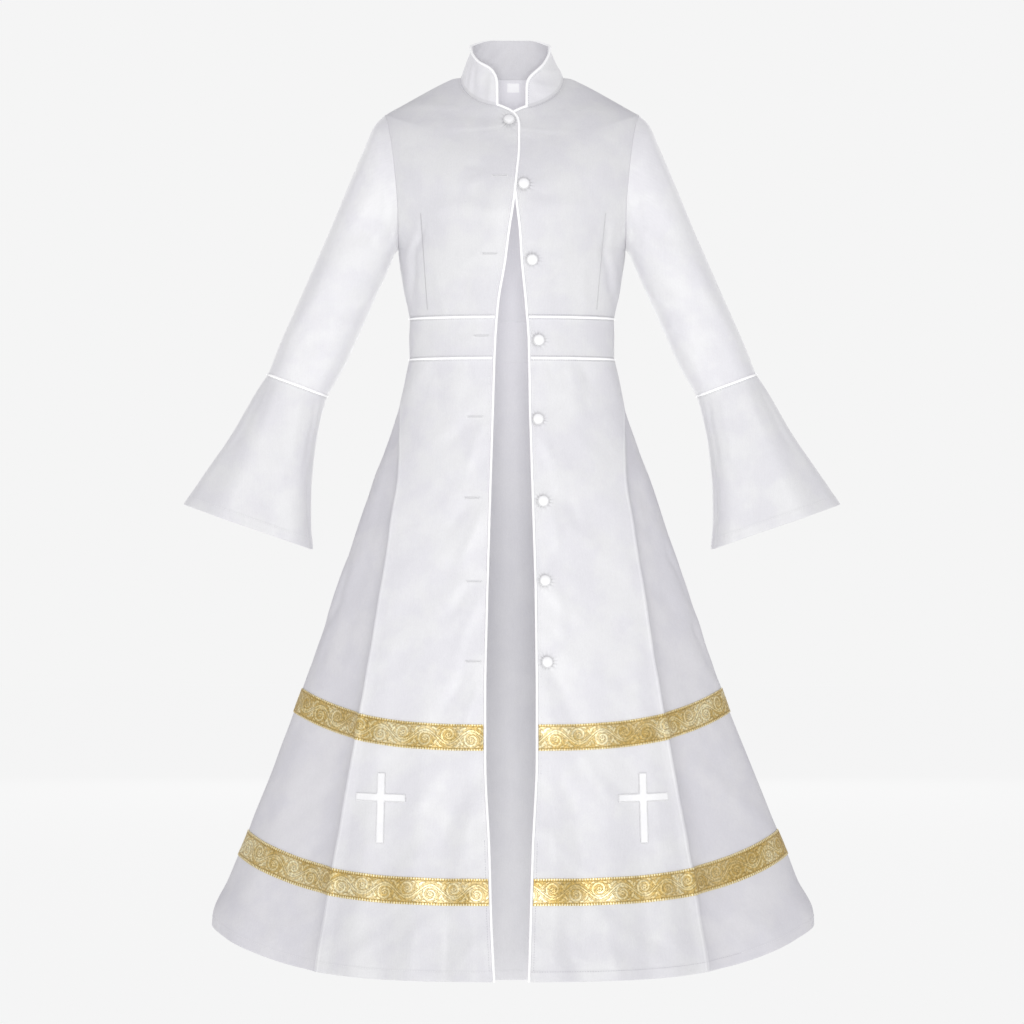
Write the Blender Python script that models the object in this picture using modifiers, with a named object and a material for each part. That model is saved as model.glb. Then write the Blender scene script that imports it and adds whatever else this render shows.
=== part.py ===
"""A long white buttoned clergy cassock, filled out as it is worn, with nobody in it.

Metres, +Z up, the front facing -Y, right and left the wearer's, so right is -X.  The origin
is the middle of the neck base, level with the two side neck points: that is where the wearer
holds the garment up.

The cloth is worked out as one grid of points from the neckline to the hem, and one of closed
rings from the armhole to the cuff's mouth.  A row runs round the body or the arm, and a column
runs down the cloth.  Each sewn piece is a stretch of rows and columns, drawn in by half a seam
gap, and given its thickness inwards along the normals of the whole grid, so that neighbours
stay parallel at their seams.
"""

from collections import namedtuple
import math

import bmesh
import bpy
import numpy as np
from mathutils import Vector
from mathutils.bvhtree import BVHTree

# Cloth, seams and trimmings
CLOTH = 0.0016
COLLAR_CLOTH = 0.0024
SEAM_GAP = 0.00040
LAID_GAP = 0.00035
RIBBON = 0.0012
APPLIQUE = 0.0012
LABEL = 0.0010
CORD_RADIUS = 0.0019
CORD_SIDES = 1
CORD_SQUEEZE = 0.45
CORD_TURNED = 0.8
CREASE_ANGLE = 40.0
MERGE = 0.0001
TINY = 1e-6

# Columns of the body's grid: each front, and half of the back; then the rows of each stretch.
# A side seam has a column of each panel, and RING_COLUMNS keeps one of the two.
FRONT_COLUMNS = 9
BACK_COLUMNS = 16
BACK_CROWDING = 1.2
UNDERARM, SHOULDER_TIP, NECK = 1.0, 2.0, 3.0
BODICE_LEVELS = [0.0, 0.35, 0.7]
SHOULDER_LEVELS = [2.3, 2.6, 2.85, NECK]
ARMHOLE_ROWS = 9
WAISTBAND_ROWS = 3
BACK_FIRST = FRONT_COLUMNS + 1
BACK_LAST = BACK_FIRST + 2 * BACK_COLUMNS
COLUMNS = BACK_LAST + 1 + FRONT_COLUMNS + 1
RING_COLUMNS = [j for j in range(COLUMNS) if j not in (BACK_FIRST, BACK_LAST + 1)]
CURVE_STEPS = 12
EDGE_ROUNDS = 4

# Waist seams
WAIST_TOP = -0.367
WAIST_BOTTOM = -0.429

# The bodice, from the waist seam (level 0) by the underarm (1) and the shoulder tip (2) to
# the neck (3): side_x is half the width, and each depth is measured from the side plane.
BodiceRow = namedtuple("BodiceRow", "level side_x front_depth front_z back_depth back_z")
BODICE = [
    BodiceRow(0.00, 0.1548, 0.104, WAIST_TOP, 0.092, WAIST_TOP),
    BodiceRow(0.50, 0.1655, 0.114, -0.312, 0.098, -0.312),
    BodiceRow(1.00, 0.1725, 0.122, -0.258, 0.107, -0.261),
    BodiceRow(1.33, 0.1722, 0.124, -0.210, 0.112, -0.208),
    BodiceRow(1.50, 0.1755, 0.120, -0.172, 0.110, -0.160),
    BodiceRow(1.67, 0.1812, 0.109, -0.137, 0.104, -0.112),
    BodiceRow(2.00, 0.1930, 0.090, -0.099, 0.092, -0.062),
    BodiceRow(2.33, 0.1550, 0.083, -0.084, 0.082, -0.040),
    BodiceRow(2.67, 0.1165, 0.075, -0.070, 0.070, -0.017),
    BodiceRow(3.00, 0.0780, 0.068, -0.052, 0.060, 0.003),
]

# The shoulder seam's height above each half width
SHOULDER_LINE = [(0.078, 0.0), (0.0885, -0.0012), (0.100, -0.0062), (0.193, -0.057)]

# The armhole is nearly an ellipse
ARMHOLE_MIDDLE_Z = -0.159
ARMHOLE_HALF_HEIGHT = 0.102
ARMHOLE_FRONT = 0.058
ARMHOLE_BACK = 0.054
UNDERARM_Z = ARMHOLE_MIDDLE_Z - ARMHOLE_HALF_HEIGHT

# How far two walls' normals agree at the armhole seam where it lies flat, and where the sleeve
# has folded right back under the arm and stands off the bodice
SEAM_FLAT = 0.6
SEAM_FOLDED = 0.5
ARMHOLE_STAND_OFF = 0.0003

# The neckline falls away to the front edges between the collar's ends, and less so below it
COLLAR_END_X = 0.0226
LAPEL_DROP = 0.008
LAPEL_BEND = 1.5
LAPEL_LEVEL = 2.45

# The waistband's rings
WaistRow = namedtuple("WaistRow", "height side_x front_depth back_depth")
WAISTBAND = [
    WaistRow(WAIST_TOP, 0.1548, 0.104, 0.092),
    WaistRow(-0.398, 0.1558, 0.1040, 0.0930),
    WaistRow(WAIST_BOTTOM, 0.1552, 0.1055, 0.0950),
]

# The skirt's rings, from the waist seam (0) to the hem (1): the half width at the outermost
# fold, the side seam's place, which stands out as a ridge, the depths in the middle, and how
# deep the folds are, from a plain oval (0) to the full ones listed below (1).
SkirtRow = namedtuple("SkirtRow", "down side_x ridge_x ridge_y front_depth back_depth folds")
SKIRT = [
    SkirtRow(0.00, 0.1552, 0.1550, -0.002, 0.1055, 0.095, 0.0),
    SkirtRow(0.06, 0.1670, 0.1600, -0.030, 0.1120, 0.104, 0.6),
    SkirtRow(0.12, 0.1830, 0.1620, -0.053, 0.1190, 0.112, 1.0),
    SkirtRow(0.20, 0.2045, 0.1715, -0.072, 0.1280, 0.122, 1.0),
    SkirtRow(0.30, 0.2325, 0.1850, -0.088, 0.1400, 0.133, 1.0),
    SkirtRow(0.40, 0.2612, 0.1990, -0.102, 0.1510, 0.144, 1.0),
    SkirtRow(0.60, 0.3198, 0.2290, -0.128, 0.1770, 0.164, 0.95),
    SkirtRow(0.80, 0.3885, 0.2620, -0.152, 0.2050, 0.183, 0.75),
    SkirtRow(0.92, 0.4330, 0.2810, -0.167, 0.2210, 0.194, 0.5),
    SkirtRow(0.98, 0.4575, 0.2900, -0.176, 0.2280, 0.199, 0.4),
    SkirtRow(1.00, 0.4585, 0.2920, -0.178, 0.2300, 0.200, 0.35),
]
SKIRT_FRONT_DROP = 0.922
SKIRT_BACK_DROP = 0.962
SKIRT_SIDE_DROP = 0.858
SIDE_DROP_BEND = 0.045
HIP_BLEND = 0.22
FRONT_BOW = 2.2
BOW_POINTS = 7
NEAR_MIDDLE = 0.3
RIDGE_LIMIT = 0.999
SIDE_RISE = 2.6
SIDE_RISE_BELOW = 1.5

# Folds of the skirt in plan, past the ridge: part of the way sideways from the ridge to the
# outermost fold and part of the way back, then, behind it, parts of the half width and depth.
FoldPoint = namedtuple("FoldPoint", "across back")
SIDE_FOLD = [FoldPoint(0.08, 0.22), FoldPoint(0.42, 0.47), FoldPoint(0.80, 0.73)]
BACK_FOLDS = [
    FoldPoint(0.985, 0.22),
    FoldPoint(0.90, 0.50),
    FoldPoint(0.78, 0.69),
    FoldPoint(0.63, 0.72),
    FoldPoint(0.47, 0.95),
    FoldPoint(0.28, 0.92),
    FoldPoint(0.12, 0.99),
]

# Gold bands and their edges, as parts of the way down the skirt
UPPER_BAND = (0.592, 0.634)
LOWER_BAND = (0.837, 0.880)
SKIRT_LEVELS = [
    0.0, 0.03, 0.07, 0.12, 0.19, 0.28, 0.38, 0.49, *UPPER_BAND,
    0.70, 0.77, *LOWER_BAND, 0.94, 1.0,
]

# The middle of the cord down each piped front edge
FrontEdge = namedtuple("FrontEdge", "height right left")
FRONT_EDGES = [
    FrontEdge(-0.0576, 0.0015, -0.0015),
    FrontEdge(-0.0666, 0.0075, -0.0075),
    FrontEdge(-0.0760, 0.0105, -0.0105),
    FrontEdge(-0.1160, 0.0104, -0.0090),
    FrontEdge(-0.1470, 0.0074, -0.0045),
    FrontEdge(-0.1780, 0.0044, 0.0050),
    FrontEdge(-0.2000, 0.0015, 0.0075),
    FrontEdge(-0.2380, -0.0045, 0.0120),
    FrontEdge(-0.2840, -0.0104, 0.0149),
    FrontEdge(-0.3450, -0.0208, 0.0209),
    FrontEdge(-0.4050, -0.0254, 0.0254),
    FrontEdge(-0.4940, -0.0284, 0.0269),
    FrontEdge(-0.6420, -0.0328, 0.0313),
    FrontEdge(-0.7900, -0.0371, 0.0356),
    FrontEdge(-0.9380, -0.0399, 0.0370),
    FrontEdge(-1.0260, -0.0398, 0.0369),
    FrontEdge(-1.1580, -0.0338, 0.0309),
    FrontEdge(-1.2600, -0.0309, 0.0279),
    FrontEdge(-1.3510, -0.0264, 0.0250),
]

# The right front laps over the left one at the chest: how far out, and where that fades
LAP_LIFT = 0.0046
NECK_CORD_START = 0.0035
WAIST_CORD_INSET = 0.0006
LAP_FULL_X = -0.014
LAP_END_X = -0.058
LAP_FULL_Z = -0.206
LAP_END_Z = -0.300

# The stand collar: its height and top ring, and how its front corners are rounded
COLLAR_HEIGHT_FRONT = {"right": 0.0582, "left": 0.0478}
COLLAR_HEIGHT_SIDE = 0.0490
COLLAR_HEIGHT_BACK = 0.0581
COLLAR_BACK_RISE = 0.7
COLLAR_TOP_X = 0.0580
COLLAR_TOP_SHIFT = -0.0025
COLLAR_TOP_FRONT = 0.0620
COLLAR_TOP_BACK = 0.0470
COLLAR_TOP_END_X = {"right": 0.0205, "left": 0.0240}
COLLAR_CORNER_HEIGHT = 0.036
COLLAR_CORNER_RUN = 0.030
COLLAR_CORD_RISE = 0.0012
COLLAR_CORD_TUCK = 0.0014
COLLAR_TUCK_FROM = -0.025
COLLAR_TUCK_RUN = 0.030
COLLAR_CORD_END = 0.0045
COLLAR_ROWS = 3

# Sleeve and cuff rings, in front view: the outer and the inner edge, then half the depth
# and how far the arm has come forward.  The cuff's flutes are soft waves of its depth.
ArmRow = namedtuple("ArmRow", "outer_x outer_z inner_x inner_z half_depth forward flutes")
SLEEVE = [
    ArmRow(0.2067, -0.0715, 0.1740, -0.2632, 0.0575, 0.000, 0.0),
    ArmRow(0.2220, -0.1050, 0.1766, -0.2665, 0.0585, 0.000, 0.0),
    ArmRow(0.2460, -0.1600, 0.1805, -0.2725, 0.0575, 0.002, 0.0),
    ArmRow(0.2635, -0.2010, 0.1840, -0.2800, 0.0560, 0.003, 0.0),
    ArmRow(0.2810, -0.2430, 0.1915, -0.2980, 0.0550, 0.005, 0.0),
    ArmRow(0.3086, -0.3070, 0.2140, -0.3490, 0.0540, 0.008, 0.0),
    ArmRow(0.3285, -0.3525, 0.2340, -0.3940, 0.0530, 0.010, 0.0),
    ArmRow(0.3480, -0.3980, 0.2540, -0.4390, 0.0505, 0.012, 0.0),
    ArmRow(0.3699, -0.4518, 0.2808, -0.4846, 0.0460, 0.015, 0.0),
]
CUFF = [
    ArmRow(0.3699, -0.4518, 0.2808, -0.4846, 0.0460, 0.015, 0.0),
    ArmRow(0.3880, -0.4800, 0.2890, -0.5180, 0.0465, 0.016, 0.0010),
    ArmRow(0.4070, -0.5120, 0.2965, -0.5520, 0.0480, 0.017, 0.0020),
    ArmRow(0.4285, -0.5470, 0.3020, -0.5930, 0.0505, 0.018, 0.0035),
    ArmRow(0.4514, -0.5806, 0.3045, -0.6334, 0.0530, 0.018, 0.0050),
    ArmRow(0.4750, -0.6150, 0.3045, -0.6750, 0.0560, 0.018, 0.0065),
    ArmRow(0.4975, -0.6480, 0.3020, -0.7160, 0.0590, 0.018, 0.0080),
]
CUFF_FLUTES = 5

# Crosses on the skirt fronts
CROSS_X = 0.195
CROSS_TOP = -1.0478
CROSS_HEIGHT = 0.103
CROSS_WIDTH = 0.0735
CROSS_BAR = 0.0112
CROSS_ARM_DROP = 0.036
CROSS_GAP = 0.0007

# Covered buttons: the first is done up on the right front, the rest sit on the left front
BUTTON_RADIUS = 0.0089
BUTTON_RIM = 0.0016
BUTTON_DOME = 0.0042
BUTTON_FOOT_RADIUS = 0.0084
BUTTON_SHANK_RADIUS = 0.0026
BUTTON_SHANK = 0.0016
BUTTON_STEPS = 12
BUTTON_DOME_STEPS = 4
ButtonPlace = namedtuple("ButtonPlace", "x height")
BUTTONS = [
    ButtonPlace(-0.0045, -0.0720),
    ButtonPlace(0.0176, -0.1696),
    ButtonPlace(0.0298, -0.2820),
    ButtonPlace(0.0396, -0.4020),
    ButtonPlace(0.0387, -0.5210),
    ButtonPlace(0.0462, -0.6435),
    ButtonPlace(0.0490, -0.7620),
    ButtonPlace(0.0518, -0.8830),
]

# Where the lines start that find the seat of what lies on the cloth
IN_FRONT_Y = -1.0
INSIDE_Y = 0.0

# The label inside the back neck
LABEL_X = 0.0018
LABEL_TOP = -0.0030
LABEL_WIDTH = 0.0176
LABEL_HEIGHT = 0.0122

Finish = namedtuple("Finish", "red green blue roughness metallic")
FINISHES = {
    "satin": Finish(0.80, 0.80, 0.82, 0.45, 0.0),
    "piping": Finish(0.93, 0.93, 0.93, 0.40, 0.0),
    "gold": Finish(0.66, 0.52, 0.22, 0.40, 0.5),
    "cross": Finish(0.92, 0.92, 0.93, 0.40, 0.0),
    "button": Finish(0.90, 0.90, 0.92, 0.35, 0.0),
    "label": Finish(0.88, 0.88, 0.88, 0.60, 0.0),
}


def smoothstep(value):
    """0 below 0, 1 above 1, and a soft rise between them."""
    value = np.clip(value, 0.0, 1.0)
    return value * value * (3.0 - 2.0 * value)


def smooth_line(xs, ys):
    """A function through the points (xs, ys), curved, that never swings past them."""
    order = np.argsort(xs)
    xs = np.asarray(xs, dtype=float)[order]
    ys = np.asarray(ys, dtype=float)[order]
    runs = np.diff(xs)
    slopes = np.diff(ys) / runs
    tangents = np.zeros(len(xs))
    for i in range(1, len(xs) - 1):
        if slopes[i - 1] * slopes[i] > 0:
            before = 2 * runs[i] + runs[i - 1]
            after = runs[i] + 2 * runs[i - 1]
            tangents[i] = (before + after) / (before / slopes[i - 1] + after / slopes[i])
    tangents[0] = slopes[0]
    tangents[-1] = slopes[-1]

    def value(x):
        x = np.clip(x, xs[0], xs[-1])
        i = np.clip(np.searchsorted(xs, x) - 1, 0, len(runs) - 1)
        run = runs[i]
        t = (x - xs[i]) / run
        rise = ys[i] * (1 + 2 * t) * (1 - t) ** 2 + ys[i + 1] * t * t * (3 - 2 * t)
        return rise + run * (tangents[i] * t * (1 - t) ** 2 + tangents[i + 1] * t * t * (t - 1))

    return value


def column(table, along, name):
    """One column of a table as a smooth function of another."""
    return smooth_line([getattr(row, along) for row in table],
                       [getattr(row, name) for row in table])


def through(points):
    """A smooth curve through plan points, as a function of the part of its length."""
    points = np.asarray(points, dtype=float)
    chords = np.linalg.norm(np.diff(points, axis=0), axis=1) ** 0.5
    knots = np.concatenate([[0.0], np.cumsum(chords)])
    tangents = np.zeros_like(points)
    for i in range(1, len(points) - 1):
        before = (points[i] - points[i - 1]) / chords[i - 1]
        after = (points[i + 1] - points[i]) / chords[i]
        span = chords[i - 1] + chords[i]
        tangents[i] = (before * chords[i] + after * chords[i - 1]) / span
    tangents[0] = 2 * (points[1] - points[0]) / chords[0] - tangents[1]
    tangents[-1] = 2 * (points[-1] - points[-2]) / chords[-1] - tangents[-2]
    fine = []
    for i, chord in enumerate(chords):
        for t in np.linspace(0.0, 1.0, CURVE_STEPS, endpoint=False):
            rise = points[i] * (1 + 2 * t) * (1 - t) ** 2 + points[i + 1] * t * t * (3 - 2 * t)
            swing = tangents[i] * t * (1 - t) ** 2 + tangents[i + 1] * t * t * (t - 1)
            fine.append(rise + chord * swing)
    fine.append(points[-1])
    fine = np.array(fine)
    lengths = np.concatenate([[0.0], np.cumsum(np.linalg.norm(np.diff(fine, axis=0), axis=1))])
    parts = lengths / lengths[-1]

    def at(part):
        return np.array([np.interp(part, parts, fine[:, 0]), np.interp(part, parts, fine[:, 1])])

    return at


front_edge_right = column(FRONT_EDGES, "height", "right")
front_edge_left = column(FRONT_EDGES, "height", "left")


def cloth_edge(side, height):
    """Where a front's cloth ends, as a distance towards the other side of the middle."""
    if side == "right":
        return front_edge_right(height) - CORD_RADIUS - LAID_GAP
    return -front_edge_left(height) - CORD_RADIUS - LAID_GAP


def lap_lift(x, z):
    """How far out the right front stands over the left one."""
    across = smoothstep((x - LAP_END_X) / (LAP_FULL_X - LAP_END_X))
    down = smoothstep((z - LAP_END_Z) / (LAP_FULL_Z - LAP_END_Z))
    return LAP_LIFT * across * down


def back_shares():
    """Parts of the way from a side seam to the middle of the back."""
    return [(k / BACK_COLUMNS) ** BACK_CROWDING for k in range(BACK_COLUMNS + 1)]


def joined_row(front_right, back_right, front_left):
    """One row, from the right front edge by the back to the left one.

    The end of each front and the end of the back are both kept, because they part at the
    armhole; elsewhere they are the same point.
    """
    back_left = [(-x, y, z) for x, y, z in reversed(back_right[:-1])]
    return list(front_right) + list(back_right) + back_left + list(front_left[::-1])


bodice_columns = {name: column(BODICE, "level", name) for name in BodiceRow._fields[1:]}
shoulder_height = smooth_line([x for x, z in SHOULDER_LINE], [z for x, z in SHOULDER_LINE])


def bodice_side(level):
    """The outer end of a row: half width, height, and its depth to the front and back."""
    side_x = float(bodice_columns["side_x"](level))
    if level <= UNDERARM:
        return side_x, WAIST_TOP + (UNDERARM_Z - WAIST_TOP) * level / UNDERARM, 0.0, 0.0
    if level < SHOULDER_TIP:
        turn = math.pi * (level - UNDERARM) / (SHOULDER_TIP - UNDERARM)
        height = ARMHOLE_MIDDLE_Z - ARMHOLE_HALF_HEIGHT * math.cos(turn)
        return side_x, height, ARMHOLE_FRONT * math.sin(turn), ARMHOLE_BACK * math.sin(turn)
    return side_x, float(shoulder_height(side_x)), 0.0, 0.0


def bodice_point(level, half, turn, reach):
    """A point of a bodice row; turn runs from 0 in the middle to reach at the row's end."""
    side_x, side_z, _, _ = bodice_side(level)
    depth = float(bodice_columns[half + "_depth"](level))
    middle_z = float(bodice_columns[half + "_z"](level))
    straight = (1 - math.cos(turn)) / (1 - math.cos(reach))
    rounded = (math.sin(turn) / math.sin(reach)) ** 2
    round_part = min((NECK - level) / (NECK - SHOULDER_TIP), 1.0)
    rise = straight + (rounded - straight) * round_part
    x = side_x * math.sin(turn) / math.sin(reach)
    y = depth * math.cos(turn)
    z = middle_z + (side_z - middle_z) * rise
    if half == "front":
        y = -y
        if abs(x) < COLLAR_END_X:
            near_neck = float(smoothstep((level - LAPEL_LEVEL) / (NECK - LAPEL_LEVEL)))
            z -= LAPEL_DROP * near_neck * (1 - abs(x) / COLLAR_END_X) ** LAPEL_BEND
    return x, y, z


def bodice_reach(level, half):
    """The turn at which a bodice row ends, at the side, the armhole or the shoulder seam."""
    _, _, front_end, back_end = bodice_side(level)
    end = front_end if half == "front" else back_end
    return math.acos(end / float(bodice_columns[half + "_depth"](level)))


def bodice_front(level, side):
    """The points of one front's row, from its front edge to its outer end."""
    reach = bodice_reach(level, "front")
    side_x = bodice_side(level)[0]
    edge_turn = 0.0
    for _ in range(EDGE_ROUNDS):
        height = bodice_point(level, "front", edge_turn, reach)[2]
        edge_turn = -math.asin(cloth_edge(side, height) / side_x * math.sin(reach))
    sign = -1 if side == "right" else 1
    row = []
    for k in range(FRONT_COLUMNS + 1):
        turn = edge_turn + (reach - edge_turn) * k / FRONT_COLUMNS
        x, y, z = bodice_point(level, "front", turn, reach)
        row.append((sign * x, y, z))
    return row


def bodice_row(level):
    """A whole bodice row, front edge to front edge."""
    reach = bodice_reach(level, "back")
    back = [bodice_point(level, "back", reach * (1 - share), reach) for share in back_shares()]
    back_right = [(-x, y, z) for x, y, z in back]
    return joined_row(bodice_front(level, "right"), back_right, bodice_front(level, "left"))


def ellipse_front(height, side_x, depth, side):
    """The front half of an elliptical ring, from a front edge to the side seam."""
    edge_turn = -math.asin(cloth_edge(side, height) / side_x)
    sign = -1 if side == "right" else 1
    row = []
    for k in range(FRONT_COLUMNS + 1):
        turn = edge_turn + (math.pi / 2 - edge_turn) * k / FRONT_COLUMNS
        row.append((sign * side_x * math.sin(turn), -depth * math.cos(turn), height))
    return row


def ellipse_back(height, side_x, depth):
    """The right half of the back of an elliptical ring."""
    turns = [math.pi / 2 * (1 - share) for share in back_shares()]
    return [(-side_x * math.sin(turn), depth * math.cos(turn), height) for turn in turns]


def waistband_row(height):
    """A whole ring of the waistband."""
    side_x, front, back = (float(column(WAISTBAND, "height", name)(height))
                           for name in WaistRow._fields[1:])
    return joined_row(ellipse_front(height, side_x, front, "right"),
                      ellipse_back(height, side_x, back),
                      ellipse_front(height, side_x, front, "left"))


skirt_columns = {name: column(SKIRT, "down", name) for name in SkirtRow._fields[1:]}


def skirt_sizes(down):
    """The sizes of a skirt ring, in the order of the table's columns."""
    return [float(skirt_columns[name](down)) for name in SkirtRow._fields[1:]]


def skirt_heights(down):
    """The heights of a skirt ring in the middle of the front and back, and at its side."""
    side = down - SIDE_DROP_BEND * down * (1 - down)
    return (WAIST_BOTTOM - SKIRT_FRONT_DROP * down,
            WAIST_BOTTOM - SKIRT_BACK_DROP * down,
            WAIST_BOTTOM - SKIRT_SIDE_DROP * side)


def skirt_plan(down):
    """The ring's plan on the +X side: the front to the ridge, and the ridge to the back."""
    side_x, ridge_x, ridge_y, front, back, folds = skirt_sizes(down)
    bow = [(part * ridge_x, ridge_y - (front + ridge_y) * (1 - part ** FRONT_BOW))
           for part in np.linspace(0.0, 1.0, BOW_POINTS)]
    oval = ridge_y / math.sqrt(1 - min(ridge_x / side_x, RIDGE_LIMIT) ** 2)
    fold = []
    for p in SIDE_FOLD:
        x = ridge_x + p.across * (side_x - ridge_x)
        plain = oval * math.sqrt(1 - (x / side_x) ** 2)
        fold.append((x, plain + (ridge_y * (1 - p.back) - plain) * folds))
    behind = []
    for p in BACK_FOLDS:
        plain = math.sqrt(1 - p.across ** 2)
        behind.append((p.across * side_x, (plain + (p.back - plain) * folds) * back))
    return (through(bow),
            through([bow[-1]] + fold + [(side_x, 0.0)] + behind + [(0.0, back)]))


def skirt_point(plan, down):
    """A plan point given its height: the ring rises from its middle towards the side."""
    front_z, back_z, side_z = skirt_heights(down)
    side_x = skirt_sizes(down)[0]
    x, y = plan
    middle_z = front_z if y <= 0 else back_z
    rise = min(abs(x) / side_x, 1.0) ** (SIDE_RISE + SIDE_RISE_BELOW * down)
    return x, y, middle_z + (side_z - middle_z) * rise


def skirt_row(down):
    """A whole ring of the skirt; near the waist it blends into the waistband's ellipse."""
    front_plan, back_plan = skirt_plan(down)
    side_x, _, _, front, back, _ = skirt_sizes(down)
    blend = float(smoothstep(down / HIP_BLEND))
    height = skirt_heights(down)[0]
    near_middle = np.linspace(0.0, NEAR_MIDDLE, CURVE_STEPS + 1)
    across = [front_plan(part)[0] for part in near_middle]
    fronts = {}
    for side, sign in (("right", -1), ("left", 1)):
        start = float(np.interp(-cloth_edge(side, height), across, near_middle))
        ring = ellipse_front(height, side_x, front, side)
        row = []
        for k in range(FRONT_COLUMNS + 1):
            hung = front_plan(start + (1 - start) * k / FRONT_COLUMNS) * (sign, 1)
            row.append(skirt_point(hung * blend + np.array(ring[k][:2]) * (1 - blend), down))
        fronts[side] = row
    ring = ellipse_back(height, side_x, back)
    back_right = []
    for k, share in enumerate(back_shares()):
        hung = back_plan(share) * (-1, 1)
        back_right.append(skirt_point(hung * blend + np.array(ring[k][:2]) * (1 - blend), down))
    return joined_row(fronts["right"], back_right, fronts["left"])


def arm_ring(row):
    """A closed ring of the left arm, from its outer edge round the front."""
    outer = np.array([row.outer_x, -row.forward, row.outer_z])
    inner = np.array([row.inner_x, -row.forward, row.inner_z])
    steps = 2 * ARMHOLE_ROWS
    ring = []
    for k in range(steps):
        turn = 2 * math.pi * k / steps
        wave = row.flutes * math.sin(turn) ** 2 * math.cos(CUFF_FLUTES * turn)
        depth = (row.half_depth + wave) * math.sin(turn)
        middle = (outer + inner) / 2 + (outer - inner) / 2 * math.cos(turn)
        ring.append(middle - np.array([0.0, depth, 0.0]))
    return ring


def unit(vectors):
    """Vectors brought to length 1."""
    return vectors / np.linalg.norm(vectors, axis=-1, keepdims=True)


def face_sums(grid, closed=False, seams=()):
    """Sums of the face normals round each point of a grid, leaving out the seam spans."""
    rows, columns = grid.shape[:2]
    sums = np.zeros_like(grid)
    for j in range(columns if closed else columns - 1):
        if j in seams:
            continue
        k = (j + 1) % columns
        for i in range(rows - 1):
            face = np.cross(grid[i + 1, k] - grid[i, j], grid[i + 1, j] - grid[i, k])
            for a, b in ((i, j), (i, k), (i + 1, j), (i + 1, k)):
                sums[a, b] += face
    return sums


def body_normals(grid):
    """Outward normals of the body's grid; panels that meet in a point share its normal."""
    seams = (FRONT_COLUMNS, BACK_LAST)
    sums = face_sums(grid, seams=seams)
    for j in seams:
        for i in range(len(grid)):
            if np.linalg.norm(grid[i, j] - grid[i, j + 1]) < TINY:
                sums[i, j] = sums[i, j + 1] = sums[i, j] + sums[i, j + 1]
    return unit(sums)


def drawn_in(grid, top=True, bottom=True, sides=True):
    """A grid with the chosen edges moved in by half a seam gap."""
    grid = np.array(grid)
    half = SEAM_GAP / 2
    if top:
        grid[0] += unit(grid[1] - grid[0]) * half
    if bottom:
        grid[-1] += unit(grid[-2] - grid[-1]) * half
    if sides:
        grid[:, 0] += unit(grid[:, 1] - grid[:, 0]) * half
        grid[:, -1] += unit(grid[:, -2] - grid[:, -1]) * half
    return grid


def beside(points, normals, distance):
    """A run of points moved sideways within the cloth, to the left of its direction."""
    moved = []
    for i, point in enumerate(points):
        sides = []
        for a, b in ((i - 1, i), (i, i + 1)):
            if a >= 0 and b < len(points):
                sides.append(unit(np.cross(normals[i], points[b] - points[a])))
        first, last = sides[0], sides[-1]
        moved.append(point + (first + last) / (1 + first.dot(last)) * distance)
    return np.array(moved)


def material(kind):
    """The material of one kind of finish, made new for each object."""
    finish = FINISHES[kind]
    made = bpy.data.materials.new(kind)
    made.use_nodes = True
    shader = made.node_tree.nodes["Principled BSDF"]
    shader.inputs["Base Color"].default_value = (finish.red, finish.green, finish.blue, 1.0)
    shader.inputs["Roughness"].default_value = finish.roughness
    shader.inputs["Metallic"].default_value = finish.metallic
    return made


def add_object(name, mesh, kind, collection):
    """Links a mesh as one named, smooth-shaded object with its own material."""
    mesh.shade_smooth()
    mesh.set_sharp_from_angle(angle=math.radians(CREASE_ANGLE))
    mesh.materials.append(material(kind))
    made = bpy.data.objects.new(name, mesh)
    collection.objects.link(made)
    return made


def add_wall(name, outer, inner, kind, collection, closed=False):
    """A closed wall lofted between an outer and an inner grid of points.

    Every cell is cut along the same diagonal, so that cloth laid on cloth stays parallel.
    """
    rows, columns = len(outer), len(outer[0])
    bm = bmesh.new()
    skins = [[[bm.verts.new(point) for point in row] for row in grid]
             for grid in (outer, inner)]
    spans = [(j, (j + 1) % columns) for j in range(columns if closed else columns - 1)]
    for skin in skins:
        for i in range(rows - 1):
            for j, k in spans:
                bm.faces.new((skin[i][j], skin[i + 1][j], skin[i + 1][k]))
                bm.faces.new((skin[i][j], skin[i + 1][k], skin[i][k]))
    front, back = skins
    for i in (0, rows - 1):
        for j, k in spans:
            bm.faces.new((front[i][j], front[i][k], back[i][k], back[i][j]))
    if not closed:
        for j in (0, columns - 1):
            for i in range(rows - 1):
                bm.faces.new((front[i][j], front[i + 1][j], back[i + 1][j], back[i][j]))
    bmesh.ops.recalc_face_normals(bm, faces=bm.faces)
    mesh = bpy.data.meshes.new(name)
    bm.to_mesh(mesh)
    bm.free()
    return add_object(name, mesh, kind, collection)


def add_cloth(name, outer, normals, collection, kind="satin", closed=False, thick=CLOTH):
    """A wall of cloth with its outer face on a grid of points."""
    return add_wall(name, outer, outer - normals * thick, kind, collection, closed)


def squeezed(outward):
    """The share of its radius that a cord keeps: less where it is pulled round the sides."""
    facing = np.abs(outward[:, [1]])
    return 1 - CORD_SQUEEZE * smoothstep((CORD_TURNED - facing) / CORD_TURNED)


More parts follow.
